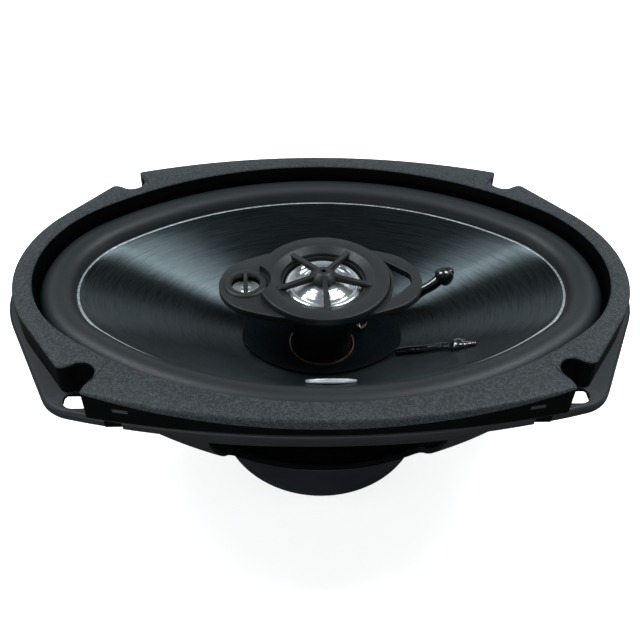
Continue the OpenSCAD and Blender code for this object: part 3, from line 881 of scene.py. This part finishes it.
def flange():
    """Steel flange with its rim folded down and an open slot in each ear."""
    outline = flange_outline()
    angles = [oval_angle(x, y) for x, y in outline]
    bend = 1.4

    def fold(extra, r):
        return [level(inset(outline, extra + r - r * cos(a)), flange_top - extra - r + r * sin(a))
                for a in (pi / 2 * t for t in parts(5))]

    rings = [level(outline, 0.0)] + fold(0, bend)
    rings += [oval_ring(bowl_a - 0.6, z, angles) for z in (flange_top, flange_top - sheet)]
    rings += fold(sheet, bend - 0.6)[::-1] + [level(inset(outline, sheet), 0.0)]
    body = loft("flange", rings, angle=50)
    for corner in CORNERS:
        cut(body, slot_cutter(*corner), *hook_cutters(corner))
    return body


def bowl_ring(z, wall):
    """Ring of the bowl at height z, from the oval rim to the rounder seat; wall insets it."""
    drop = 0 if z > bowl_straight_z else (bowl_straight_z - z) / (bowl_straight_z - seat_z)
    return mixed_ring(bowl_a - wall, seat_r - wall, seat_round * drop ** 2, z + wall)


def side_window():
    """Cutter for the long sides' windows, with an arched top."""
    centre, r = SIDE_ARCH
    xs = [SIDE_WINDOW_TOP * (1 - 2 * t) for t in parts(40)]
    top = [(x, centre + sqrt(r * r - x * x)) for x in xs]
    foot = (0.0, WINDOW_FOOT_Z)
    loop = rounded([foot, (SIDE_WINDOW_FOOT, WINDOW_FOOT_Z), *top,
                    (-SIDE_WINDOW_FOOT, WINDOW_FOOT_Z), foot], 3)[:-1]
    return moved(plate("side_window", [loop], -100, 100, 0.05, 1), (0, 0, 0), pi / 2)


def end_window(side):
    """Cutter for an end's window, one each side of the middle leg."""
    loop = rounded_loop([(8 * side, -11), (41 * side, -11), (27 * side, WINDOW_FOOT_Z),
                         (6.5 * side, WINDOW_FOOT_Z)], 4)
    cutter = plate("end_window", [loop if side > 0 else loop[::-1]], -150, 150, 0.05, 1)
    return turned(moved(cutter, (0, 0, 0), pi / 2), pi / 2)


def bowl():
    """Pressed bowl from the oval flange to the motor pan, with six windows."""
    levels = [seat_z + (bowl_straight_z - seat_z) * t for t in parts(30)]
    rings = [bowl_ring(z, 0) for z in levels]
    rings += [oval_ring(a, flange_top - sheet) for a in (bowl_a, bowl_a - sheet)]
    rings += [bowl_ring(z, sheet) for z in reversed(levels)]
    body = loft("bowl", rings, angle=50)
    return cut(body, side_window(), end_window(1), end_window(-1))


def basket():
    """Flange, bowl, motor pan and the terminal bracket."""
    pan, hole = plan(bowl_ring(seat_z, 0.2)), plan(circle_ring(MOTOR_HOLE_R, 0))
    seat = plate("seat", [pan, hole], basket_lo.z, seat_z + 0.3, 0.4)
    top = board_hi.z
    arm = block("arm", (76, -6, top - 0.2), (board_lo.x, 6, top + 1), 0.3)
    back = block("back", (board_lo.x - sheet, -BRACKET_W, board_lo.z - 1),
                 (board_lo.x, BRACKET_W, top), 0.3)
    whole = join("basket_steel", [flange(), bowl(), seat, arm, back])
    return stand_for(whole, "painted_steel", "basket")


# ---------- cone and suspension ----------
roll_base = flange_top + 1
roll_mid = (ring_open + cone_a) / 2
roll_half = (ring_open - cone_a) / 2 - 0.4
roll_h = surround_hi.z - roll_base
RUBBER = 1.0


def roll_line(thinner):
    """The half-roll's line from its outer foot to its inner one."""
    return [(roll_mid + (roll_half - thinner) * cos(a), roll_base + (roll_h - thinner) * sin(a))
            for a in (pi * t for t in parts(30))]


def surround():
    """Half-roll rubber edge between the ring and the cone."""
    outer, inner = roll_mid + roll_half - RUBBER, roll_mid - roll_half + RUBBER
    profile = [(surround_hi.x, roll_base), (roll_mid + roll_half + 0.6, roll_base + 0.02)] + roll_line(0)
    profile += [(cone_a + 0.4, 3.2), (cone_a - 2.6, 1.9), (cone_a - 2.6, 1.1), (cone_a + 1, 2.3)]
    profile += roll_line(RUBBER)[::-1] + [(outer, flange_top + 0.02), (surround_hi.x, flange_top)]
    piece = loft("surround_roll", [oval_ring(a, z) for a, z in profile], angle=60)
    stand_for(piece, "surround_rubber", "surround", body=None)
    return bend_with_cone(piece, lambda p: (outer - oval_size(p.x, p.y)) / (outer - inner))


def cone_ring(t, lift=0.0):
    """Ring of the cone's face: the neck where t is 0, the rim where it is 1."""
    return mixed_ring(cone_a, neck_r, 1 - t, neck_z + (cone_hi.z - neck_z) * t + lift)


def cone():
    """Brushed cone; its thin rim takes the lighter film, a painted highlight."""
    wall = 0.8
    steps = 24
    rim = [(0.3, -wall), (0.3, -0.05), (0.15, 0.0), (-0.45, 0.0), (-0.6, -0.12)]
    neck = [(former_r + 0.1, neck_z), (former_r + 0.1, cone_lo.z), (neck_r, cone_lo.z)]
    rings = [oval_ring(cone_a + da, cone_hi.z + dz) for da, dz in rim]
    rings += [cone_ring(t) for t in reversed(parts(steps)[:-1])]
    rings += [circle_ring(r, z) for r, z in neck]
    rings += [cone_ring(t, -wall) for t in parts(steps)]
    piece = loft("cone_shell", rings, angle=40)
    # The brush coordinates change slowly round the cone and fast up its slope.
    brush = piece.data.attributes.new("brush", "FLOAT_VECTOR", "POINT")
    for v, item in zip(piece.data.vertices, brush.data):
        x, y, z = v.co / MM
        a = atan2(y, x * 0.7)
        item.vector = (4 * cos(a), 4 * sin(a), 240 * (z - neck_z) / (cone_hi.z - neck_z))
    stand_for(piece, "cone_film", "cone", body=CONE_BODY)
    piece.data.materials.append(rim_highlight_film)
    # The rim's top faces take the lighter film: a painted highlight along the edge.
    for p in piece.data.polygons:
        x, y, z = p.center / MM
        p.material_index = int(oval_size(x, y) > cone_a - 0.65 and z > cone_hi.z - 0.3)
    return piece


def cone_height(x, y):
    """Height of the cone's face above the point x, y."""
    aim, reach = atan2(abs(y), abs(x)), hypot(x, y)

    def point(t, turn):
        a, b = oval_point(cone_a, turn)
        return a * t + neck_r * cos(turn) * (1 - t), b * t + neck_r * sin(turn) * (1 - t)

    def inside(t):
        turn = bisect(0.0, pi / 2, lambda a: atan2(*point(t, a)[::-1]) < aim)
        return hypot(*point(t, turn)) < reach

    return neck_z + (cone_hi.z - neck_z) * bisect(0.0, 1.0, inside)


def dust_ring():
    """Felt ring that closes the gap round the tweeter post; its cut edges are uneven."""
    rng = random.Random(4)
    inner = former_r + 0.25
    top, inner_z = cone_ring(felt_t, 1.25), former_hi.z - 0.2
    wobble = [rng.uniform(-0.14, 0.14) for _ in range(AROUND)]

    def fuzzy(ring, amount):
        out = []
        for (x, y, z), w in zip(ring, wobble):
            grow = 1 + w * amount / hypot(x, y)
            out.append((x * grow, y * grow, z + w * amount * 0.4))
        return out

    rings = [cone_ring(felt_t, 0.2), fuzzy(cone_ring(felt_t, 0.85), 1)]
    for part in parts(6):
        crown = 0.25 * sin(pi * part)
        ring = [(x + (inner * cos(t) - x) * part, y + (inner * sin(t) - y) * part,
                 z + (inner_z - z) * part + crown) for (x, y, z), t in zip(top, turns())]
        rings.append(fuzzy(ring, 1 if part in (0, 1) else 0.3))
    rings.append(circle_ring(inner, former_hi.z - 1.4))
    return stand_for(loft("dust_felt", rings, angle=70), "felt", "dust_ring", body=CONE_BODY)


def former():
    """Coil former: a thin foil tube with a rolled top edge."""
    wall, top, edge = former_r - 0.35, former_hi.z, former_hi.z - 0.15
    profile = [(wall, former_lo.z), (former_r, former_lo.z), (former_r, edge),
               (former_r - 0.1, top), (wall + 0.1, top), (wall, edge)]
    return stand_for(revolve("coil_former", profile), "former_foil", "voice_coil_former", body=CONE_BODY)


def coil():
    """Voice coil: a layer of wire, turn on turn."""
    pitch, groove = 0.5, coil_hi.x - 0.14
    r_in = coil_hi.x - 0.63
    profile = [(r_in, coil_hi.z), (r_in, coil_lo.z)]
    for k in range(int((coil_hi.z - coil_lo.z) / pitch)):
        z = coil_lo.z + pitch * (k + 0.5)
        profile += [(groove, z - pitch / 2), (coil_hi.x, z)]
    profile.append((groove, coil_hi.z))
    return stand_for(revolve("coil_winding", profile, angle=80), "copper_wire", "voice_coil", body=CONE_BODY)


def spider():
    """Corrugated damper between its landing ring and the former."""
    first, last, waves, swing = 17.0, 39.6, 3.5, 1.1
    radii = [first + (last - first) * t for t in parts(112)]
    radii = [former_r + 0.05, *radii, spider_hi.x]

    def height(r):
        part = min(1.0, max(0.0, (r - first) / (last - first)))
        return spider_hi.z - swing + swing * sin(2 * pi * waves * part)

    profile = film([(r, height(r)) for r in radii], 0.5)
    piece = stand_for(revolve("spider_cloth", profile, angle=70), "damper_cloth", "spider", body=None)
    return bend_with_cone(piece, lambda p: (last - hypot(p.x, p.y)) / (last - first))


# ---------- glue, leads and badge ----------
def blobs(name, balls):
    """Flowing lump from overlapping balls (x, y, z, width, height)."""
    def add_balls(bm):
        for x, y, z, w, h in balls:
            place = Matrix.Translation((x * MM, y * MM, z * MM)) @ Matrix.Diagonal((w, w, h, 1))
            bmesh.ops.create_icosphere(bm, subdivisions=3, radius=MM, matrix=place)

    piece = new_object(name, edit(bpy.data.meshes.new(name), add_balls))
    remesh = piece.modifiers.new("merge", "REMESH")
    remesh.mode = "VOXEL"
    remesh.voxel_size = 0.3 * MM
    soften = piece.modifiers.new("flow", "SMOOTH")
    soften.factor = 0.6
    soften.iterations = 4
    return smooth(apply_all(piece), 180)


def glue_ball(x, y, lift, width, height):
    """Ball for blobs, lifted off the cone's face."""
    return (x, y, cone_height(x, y) + lift, width, height)


def lead_glue():
    """Bead of glue over each coil lead, ending in a blob and a drip on its eyelet."""
    rng = random.Random(11)
    start_r, steps = 33.2, 44
    beads = [(1, "lead_glue_upper", ("lead_glue",), 0, (3.6, 3.0), 2),
             (-1, "lead_glue_lower", (), 2, (3.3, 2.2), 4)]
    for side, name, nodes, extra_turn, blob, drip in beads:
        turn = LEAD_ANGLE + radians(extra_turn)
        c, s = cos(turn), side * sin(turn)
        balls = []
        for k in range(steps + 1):
            r = start_r + (EYELET_R - start_r) * k / steps
            sway = 0.25 * sin(k * 0.3 + side)
            width = 1.85 + rng.uniform(-0.08, 0.12)
            balls.append(glue_ball(r * c - sway * s, r * s + sway * c, 1.0, width, 1.75))
        x, y = EYELET_R * c, EYELET_R * s
        balls.append(glue_ball(x, y, 1.2, *blob))
        for k in range(5):
            a = 2 * pi * k / 5 + side
            width = 1.8 + 0.4 * (k % 2)
            balls.append(glue_ball(x + 2.2 * cos(a), y + 1.8 * sin(a), 0.9, width, 1.5))
        for k in range(1, drip + 1):
            balls.append(glue_ball(x + k * 1.25, y + side * k * 0.6, 0.7, 2.6 - 0.32 * k, 1.7 - 0.16 * k))
        stand_for(blobs(name, balls), "black_glue", *nodes, body=CONE_BODY)


def lead_tails():
    """Twisted ends of the coil wires, lying on the felt."""
    strands = []
    twist, spread = 11, 0.45
    for phase in (0, pi):
        path = []
        for t in parts(17):
            a = phase + t * twist
            path.append((15.6 + 3.4 * t + spread * cos(a),
                         7.9 - 2.4 * sin(pi * t) + 0.3 * cos(a),
                         -23.9 + 0.9 * t + spread * sin(a)))
        strands.append(tube_path("strand", path, 0.24, 12, 3))
    return stand_for(join("lead_tail_wires", strands), "copper_wire", "lead_tails",
                     body=CONE_BODY, material=bare_wire)


def cone_badge():
    """Plain oval badge with a raised border."""
    def oval(a, b):
        return [(a * cos(t), b * sin(t)) for t in turns(96)]

    base = plate("badge_base", [oval(9.1, 4.4)], 0.0, 0.5, 0.15)
    border = plate("badge_border", [oval(9.1, 4.4), oval(8.1, 3.5)[::-1]], 0.3, 0.8, 0.15)
    piece = moved(join("badge_oval", [base, border]), (1.4, -44.6, -4), radians(-39.7))
    return stand_for(piece, "badge_silver", "cone_badge", body=CONE_BODY)


LEAD_ROUTE = [(52.4, 20.9, -12), (54.5, 20.8, -16), (58.5, 20.4, -20), (64, 19.8, -23.4),
              (70.5, 18.8, -25.8), (77.5, 17.4, -27.4), (84.5, 15.6, -28.2), (90.5, 13.6, -28.4),
              (95.6, 12, -28.4)]


def tinsel_leads():
    """Braided leads from the cone to the terminal board."""
    sides = [tube_path("braid", [(x, side * y, z) for x, y, z in LEAD_ROUTE], 0.8, 24, 6)
             for side in (1, -1)]
    piece = stand_for(join("tinsel_braids", sides), "tinsel_braid", "tinsel_leads", body=None)
    start, end = LEAD_ROUTE[0][0], LEAD_ROUTE[-1][0]
    return bend_with_cone(piece, lambda p: (end - p.x) / (end - start))


# ---------- tweeter bridge ----------
BRIDGE_SIDE_R = 70.0
BRIDGE_SIDE_Y = 22.4
BRIDGE_TIPS = (40.3, 38.5)
CUP_R = 17.4
CAVITY_R = 16.5
CUP_FLOOR = -4.0
BEZEL_R = 25.7
DISH_R = 19.7
SUPER_R = 5.5
BOSS_R = 8.6
HUB_R = 5.2
POT = (SUPER_X, 0)
POT_R = SUPER_R + 0.8


def bridge_outline():
    """Plan of the bridge: two long arcs closed by a round tip at each end."""
    side_centre = BRIDGE_SIDE_R - BRIDGE_SIDE_Y

    def quarter(reach):
        slack = BRIDGE_SIDE_R - reach
        c = (side_centre ** 2 - slack ** 2) / (2 * slack)
        tip = arc(c, 0, reach - c, 0, degrees(atan2(side_centre, c)), 30)
        x, y = tip[-1]
        turn = degrees(atan2(y + side_centre, x))
        return tip + arc(0, -side_centre, BRIDGE_SIDE_R, turn, 90, 40)[1:]

    left, right = (quarter(reach) for reach in BRIDGE_TIPS)
    return four_quarters(right, left)


def bridge_window():
    """Triangular window beside the tweeter."""
    return rounded_loop(arc(0, 0, BEZEL_R + 1.2, 25.9, -25.9, 14)
                        + [(26.4, -10.6), (34.4, -2.8), (34.4, 2.8), (26.4, 10.6)], 1.6)


def ring_of(r, centre=(0, 0)):
    """Circle in plan about a centre."""
    return [(centre[0] + x, centre[1] + y) for x, y, _ in circle_ring(r, 0, 128)]


def bridge():
    """Plate of the bridge with the tweeter's cup and the super tweeter's pot."""
    flat = plate("bridge_plate", [bridge_outline(), bridge_window()[::-1], ring_of(CAVITY_R)[::-1],
                                  ring_of(POT_R, POT)[::-1]], plate_z, plate_top, 0.55, 4)
    cup = revolve("cup", [(2.55, CUP_FLOOR), (CUP_R - 0.6, CUP_FLOOR), (CUP_R, CUP_FLOOR + 0.6),
                          (CUP_R, plate_z + 0.4), (CAVITY_R, plate_z + 0.4), (CAVITY_R, CUP_FLOOR + 1.2),
                          (2.55, CUP_FLOOR + 1.2)])
    well = revolve("well", [(0, -1.6), (6.8, -1.6), (7.4, -1.0), (7.4, plate_z + 0.4),
                            (POT_R, plate_z + 0.4), (POT_R, -0.6), (0, -0.6)], 96, POT, closed=False)
    steps = 60
    inner = arc(0, 0, BEZEL_R + 0.4, -55, 60, steps)
    swell = [1 + 0.045 * sin(pi * t) for t in parts(steps)]
    outer = [(x * s, y * s) for (x, y), s in zip(inner, swell)]
    rib = plate("rib", [outer + inner[-2:0:-1]], plate_top - 0.5, plate_top + 0.5, 0.1, 2)
    whole = turned(join("bridge_plate", [flat, cup, well, rib]))
    return stand_for(whole, "moulded_plastic", "tweeter_bridge")


def bezel():
    """Raised bezel of the tweeter, bitten by the super tweeter's boss."""
    top, edge, bite_r = bezel_top, 0.7, BOSS_R + 1.1
    profile = [(CAVITY_R - 0.1, plate_top), (BEZEL_R, plate_top), (BEZEL_R, top - edge)]
    profile += arc(BEZEL_R - edge, top - edge, edge, 0, 90, 6)
    profile += [(DISH_R + 0.5, top), (DISH_R + 0.2, top - 0.06), (DISH_R, top - 0.22)]
    profile += [(CAVITY_R + 0.3, top - 1.55), (CAVITY_R, top - 1.8), (CAVITY_R - 0.1, top - 2.1)]
    ring = revolve("bezel_ring", profile)
    cut(ring, revolve("bite", [(0, 0), (bite_r, 0), (bite_r, 20), (0, 20)], 96, POT, closed=False))
    return stand_for(turned(ring), "moulded_plastic", "tweeter_bezel")


def spoke(turn):
    """Ridged spoke from the hub down to the bezel's dish."""
    sections = []
    start_r, end_r = 3.0, DISH_R - 0.5
    for t in parts(8):
        r = start_r + (end_r - start_r) * t
        top = bezel_top + 1.75 - 1.95 * t
        low = bezel_top - 1.0 - 0.9 * t
        w = 0.95 + 0.3 * t
        outline = [(-w, low), (w * 0.8, low), (w, low + 0.3), (w, top - 0.55), (w * 0.72, top - 0.12),
                   (w * 0.42, top), (w * 0.2, top - 0.18), (-w * 0.2, top - 0.18), (-w * 0.42, top),
                   (-w * 0.72, top - 0.12), (-w, top - 0.55)]
        sections.append([(r, y, z) for y, z in outline])
    return turned(loft("spoke", sections, closed=False, caps=True, angle=40), turn)


def grille():
    """Five spokes and the domed hub over the tweeter."""
    spokes = [spoke(radians(270 + 72 * k)) for k in range(5)]
    line = [(0, 1.3), (0.85, 1.3), (0.85, 2.4), (1.1, 2.6), (1.8, 2.58), (2.5, 2.4), (3.1, 2.05),
            (3.7, 1.55), (4.3, 1.1), (4.9, 0.6), (HUB_R + 0.2, -0.1), (HUB_R, -0.7), (4.5, -1.0), (0, -1.0)]
    hub = revolve("hub", [(r, bezel_top + z) for r, z in line], 128, closed=False, angle=55)
    return stand_for(turned(join("tweeter_grille", spokes + [hub])), "moulded_plastic")


def tweeter_film():
    """Mirror-like film: a dome, rippled towards its edge, inside a narrow roll."""
    rim, edge_z = 11.4, 3.3
    rise = dome_hi.z - edge_z
    ball = (rim ** 2 + rise ** 2) / (2 * rise)

    def dome(r):
        ripple = 0.08 * max(0, r / rim - 0.4) * sin(2 * pi * r / 1.9)
        return (r, dome_hi.z - ball + sqrt(ball ** 2 - r * r) + ripple)

    top = [dome(rim * t) for t in parts(72)]
    mirror = revolve("tweeter_mirror", film(top, 0.35), 160, closed=False)
    stand_for(mirror, "mirror_film", "tweeter_diaphragm", body=TWEETER_BODY)
    mid, half = (rim + dome_hi.x) / 2 + 0.2, (dome_hi.x - rim) / 2 - 0.25
    line = [(rim, edge_z + 0.05), (rim + 0.3, edge_z - 0.15), *arc(mid, edge_z, half, 172, 8, 20),
            (dome_hi.x, edge_z)]
    return stand_for(revolve("tweeter_roll", film(line, 0.3), 160), "mirror_film", body=TWEETER_BODY)


def super_tweeter():
    """Low boss of the super tweeter with an arched bar over its opening."""
    line = [(SUPER_R, -0.6), (SUPER_R, 0.45), (SUPER_R + 0.25, 0.75), (SUPER_R + 0.7, 0.85),
            (BOSS_R - 1.1, 0.8), (BOSS_R - 0.5, 0.55), (BOSS_R, -0.1), (BOSS_R, -0.6)]
    boss = revolve("boss", [(r, plate_top + z) for r, z in line], 128, POT)
    outline = [(-0.8, -1.5), (0.8, -1.5), (0.85, -0.4), (0.5, 0), (-0.5, 0), (-0.85, -0.4)]
    half = 6.2
    sections = []
    for t in parts(12):
        y = half * (2 * t - 1)
        top = plate_top + 0.7 + 0.75 * cos(y / half * pi / 2)
        sections.append([(SUPER_X + x, y, top + z) for x, z in outline])
    bar = loft("bar", sections, closed=False, caps=True, angle=50)
    whole = turned(join("super_tweeter_trim", [boss, bar]))
    return stand_for(whole, "moulded_plastic", "super_tweeter_bezel")


# ---------- boot, terminals and capacitor ----------
def magnet_boot():
    """Rubber boot over the motor, with rounded rims and a flat foot."""
    low, high, rim, corner, floor = boot_lo.z, boot_hi.z, boot_hi.x, 7, 2.8
    lip = [(0.6, 2.2), (0.1, 1.2), (0.1, 0.6), (0.5, 0.15), (1.1, 0), (1.8, 0.3), (2.1, 1.4)]
    profile = [(12.4, low), (36.5, low)] + arc(37, low + corner, corner, -86, -6, 14)
    profile += [(43.9, -70.0), (44.2, -68.8)] + [(rim - inward, high - down) for inward, down in lip]
    profile += [(42, -70.0), (40.4, low + floor), (12.4, low + floor), (12, low + 2.4), (12, low + 0.4)]
    return stand_for(revolve("boot_shell", profile, 240), "boot_rubber", "magnet_boot")


def terminal_blades():
    """Push-on blades with a hole, chamfered tips and a riveted head."""
    thick, chamfer, neck = 0.8, 1.2, 1.4
    for name, y, w in (("terminal_positive", -4, 6.3), ("terminal_negative", 4, 4.75)):
        lo, hi = span(name)
        left, right = y - w / 2, y + w / 2
        face = rounded([(0, hi.z), (right, hi.z), (right, lo.z + neck), (right - chamfer, lo.z),
                        (left + chamfer, lo.z), (left, lo.z + neck), (left, hi.z), (0, hi.z)], 0.4)
        hole = ring_of(0.85, (y, lo.z + 3.6))
        blade = plate("blade", [face[1:-1], hole[::-1]], board_hi.x, board_hi.x + thick, 0.12, 2)
        # The plate was drawn lying down: its x, y and height become the part's Y, Z and X.
        blade.data.transform(Matrix(((0, 0, 1, 0), (1, 0, 0, 0), (0, 1, 0, 0), (0, 0, 0, 1))))
        head = revolve("head", [(0, 0.55), (0.8, 0.5), (1.3, 0.3), (1.5, 0), (0, -0.1)], 48, closed=False)
        moved(head, (board_hi.x + thick, y, hi.z - 2), pi / 2, "Y")
        stand_for(join(name + "_blade", [blade, head]), "tinned_brass", name)


def capacitor():
    """Crossover capacitor: a sleeved can with crimped ends, its leads bent to the board."""
    x, _, z = (cap_lo + cap_hi) / 2
    r, half, edge = cap_hi.z - z, (cap_hi.y - cap_lo.y) / 2, 0.5
    end = [(0, half - 0.35), (r - 1.1, half - 0.35), (r - 0.9, half)]
    end += arc(r - edge, half - edge, edge, 80, 0, 4)
    end += [(r, half - 1.6), (r - 0.22, half - 2.0), (r, half - 2.4)]
    can = revolve("capacitor_can", end + [(a, -b) for a, b in reversed(end)], 96, closed=False)
    stand_for(moved(can, (x, 0, z), pi / 2), "capacitor_sleeve", "crossover_capacitor")
    route = [(x, -0.3), (x, 1.6), (x + 0.4, 3.1), (x + 2.4, 3.4), (board_lo.x, 3.4)]
    wires = [tube_path("wire", [(a, side * (half + b), z) for a, b in route], 0.4, 12, 6)
             for side in (1, -1)]
    return stand_for(join("capacitor_wires", wires), "plated_steel", "capacitor_leads")


# ---------- stage, lights and camera ----------
def stage():
    """Plain pale floor under the object."""
    reach = 3000.0
    corners = [(x * reach, y * reach, boot_lo.z) for x, y in ((-1, -1), (1, -1), (1, 1), (-1, 1))]
    floor = mesh_piece("studio_floor", corners, [(0, 1, 2, 3)])
    floor.data.materials.append(studio_paper())


def softbox(name, place, size, power, aim=(0, 0, 0)):
    """Rectangular area light at place, in millimetres, facing aim; slightly cool."""
    light = bpy.data.lights.new(name, "AREA")
    light.shape = "RECTANGLE"
    light.size, light.size_y = (s * MM for s in size)
    light.energy = power
    light.color = (0.90, 0.97, 1.0)
    lamp = new_object(name, light)
    lamp.location = Vector(place) * MM
    lamp.rotation_euler = (Vector(aim) - Vector(place)).to_track_quat("-Z", "Y").to_euler()


def lights():
    """Two softboxes above, one wide behind, one low in front and one at each side.

    The world is white to the camera and dim to everything else.
    """
    for name, side in (("left", -1), ("right", 1)):
        softbox(name, (side * 450, 150, 780), (300, 460), 7.2)
    softbox("back", (0, 1000, 400), (2300, 560), 4.2)
    softbox("front", (-200, -900, 20), (1200, 260), 7.0, aim=(0, 0, -20))
    for name, side in (("west", -1), ("east", 1)):
        softbox(name, (side * 1100, -150, 160), (700, 260), 2.5)
    world = bpy.data.worlds.new("studio")
    bpy.context.scene.world = world
    world.use_nodes = True
    tree = world.node_tree
    sky = tree.nodes["Background"]
    sky.inputs["Color"].default_value = (1, 1, 1, 1)
    path = tree.nodes.new("ShaderNodeLightPath")
    reach = tree.nodes.new("ShaderNodeMapRange")
    reach.inputs["To Min"].default_value = 0.10
    reach.inputs["To Max"].default_value = 1.0
    tree.links.new(path.outputs["Is Camera Ray"], reach.inputs["Value"])
    tree.links.new(reach.outputs["Result"], sky.inputs["Strength"])


def camera():
    """Camera where the photo was taken from, as fitted to the ovals of the ring and surround."""
    cam = bpy.data.cameras.new("camera")
    cam.sensor_width = 36
    cam.lens = 42.92
    cam.clip_end = 20
    eye = new_object("camera", cam)
    eye.location = Vector((-12.18, -230.5, 190.69)) * MM
    eye.rotation_euler = [radians(a) for a in (48.366, -1.103, -1.811)]
    bpy.context.scene.camera = eye


for build in (camera, stage, lights, trim_ring, ring_hooks, skirt_tabs, basket, surround, cone, dust_ring,
              former, coil, spider, lead_glue, lead_tails, cone_badge, tinsel_leads, bridge, bezel, grille,
              tweeter_film, super_tweeter, magnet_boot, terminal_blades, capacitor):
    build()

for node, slot in ((p["node"], p["material_slot"]) for p in frame["record"]["subparts"]):
    part = frame["nodes"][node]
    part.data.materials.clear()
    part.data.materials.append(MATERIALS[slot])
    smooth(part, 30)

bpy.context.scene.view_settings.view_transform = "Standard"
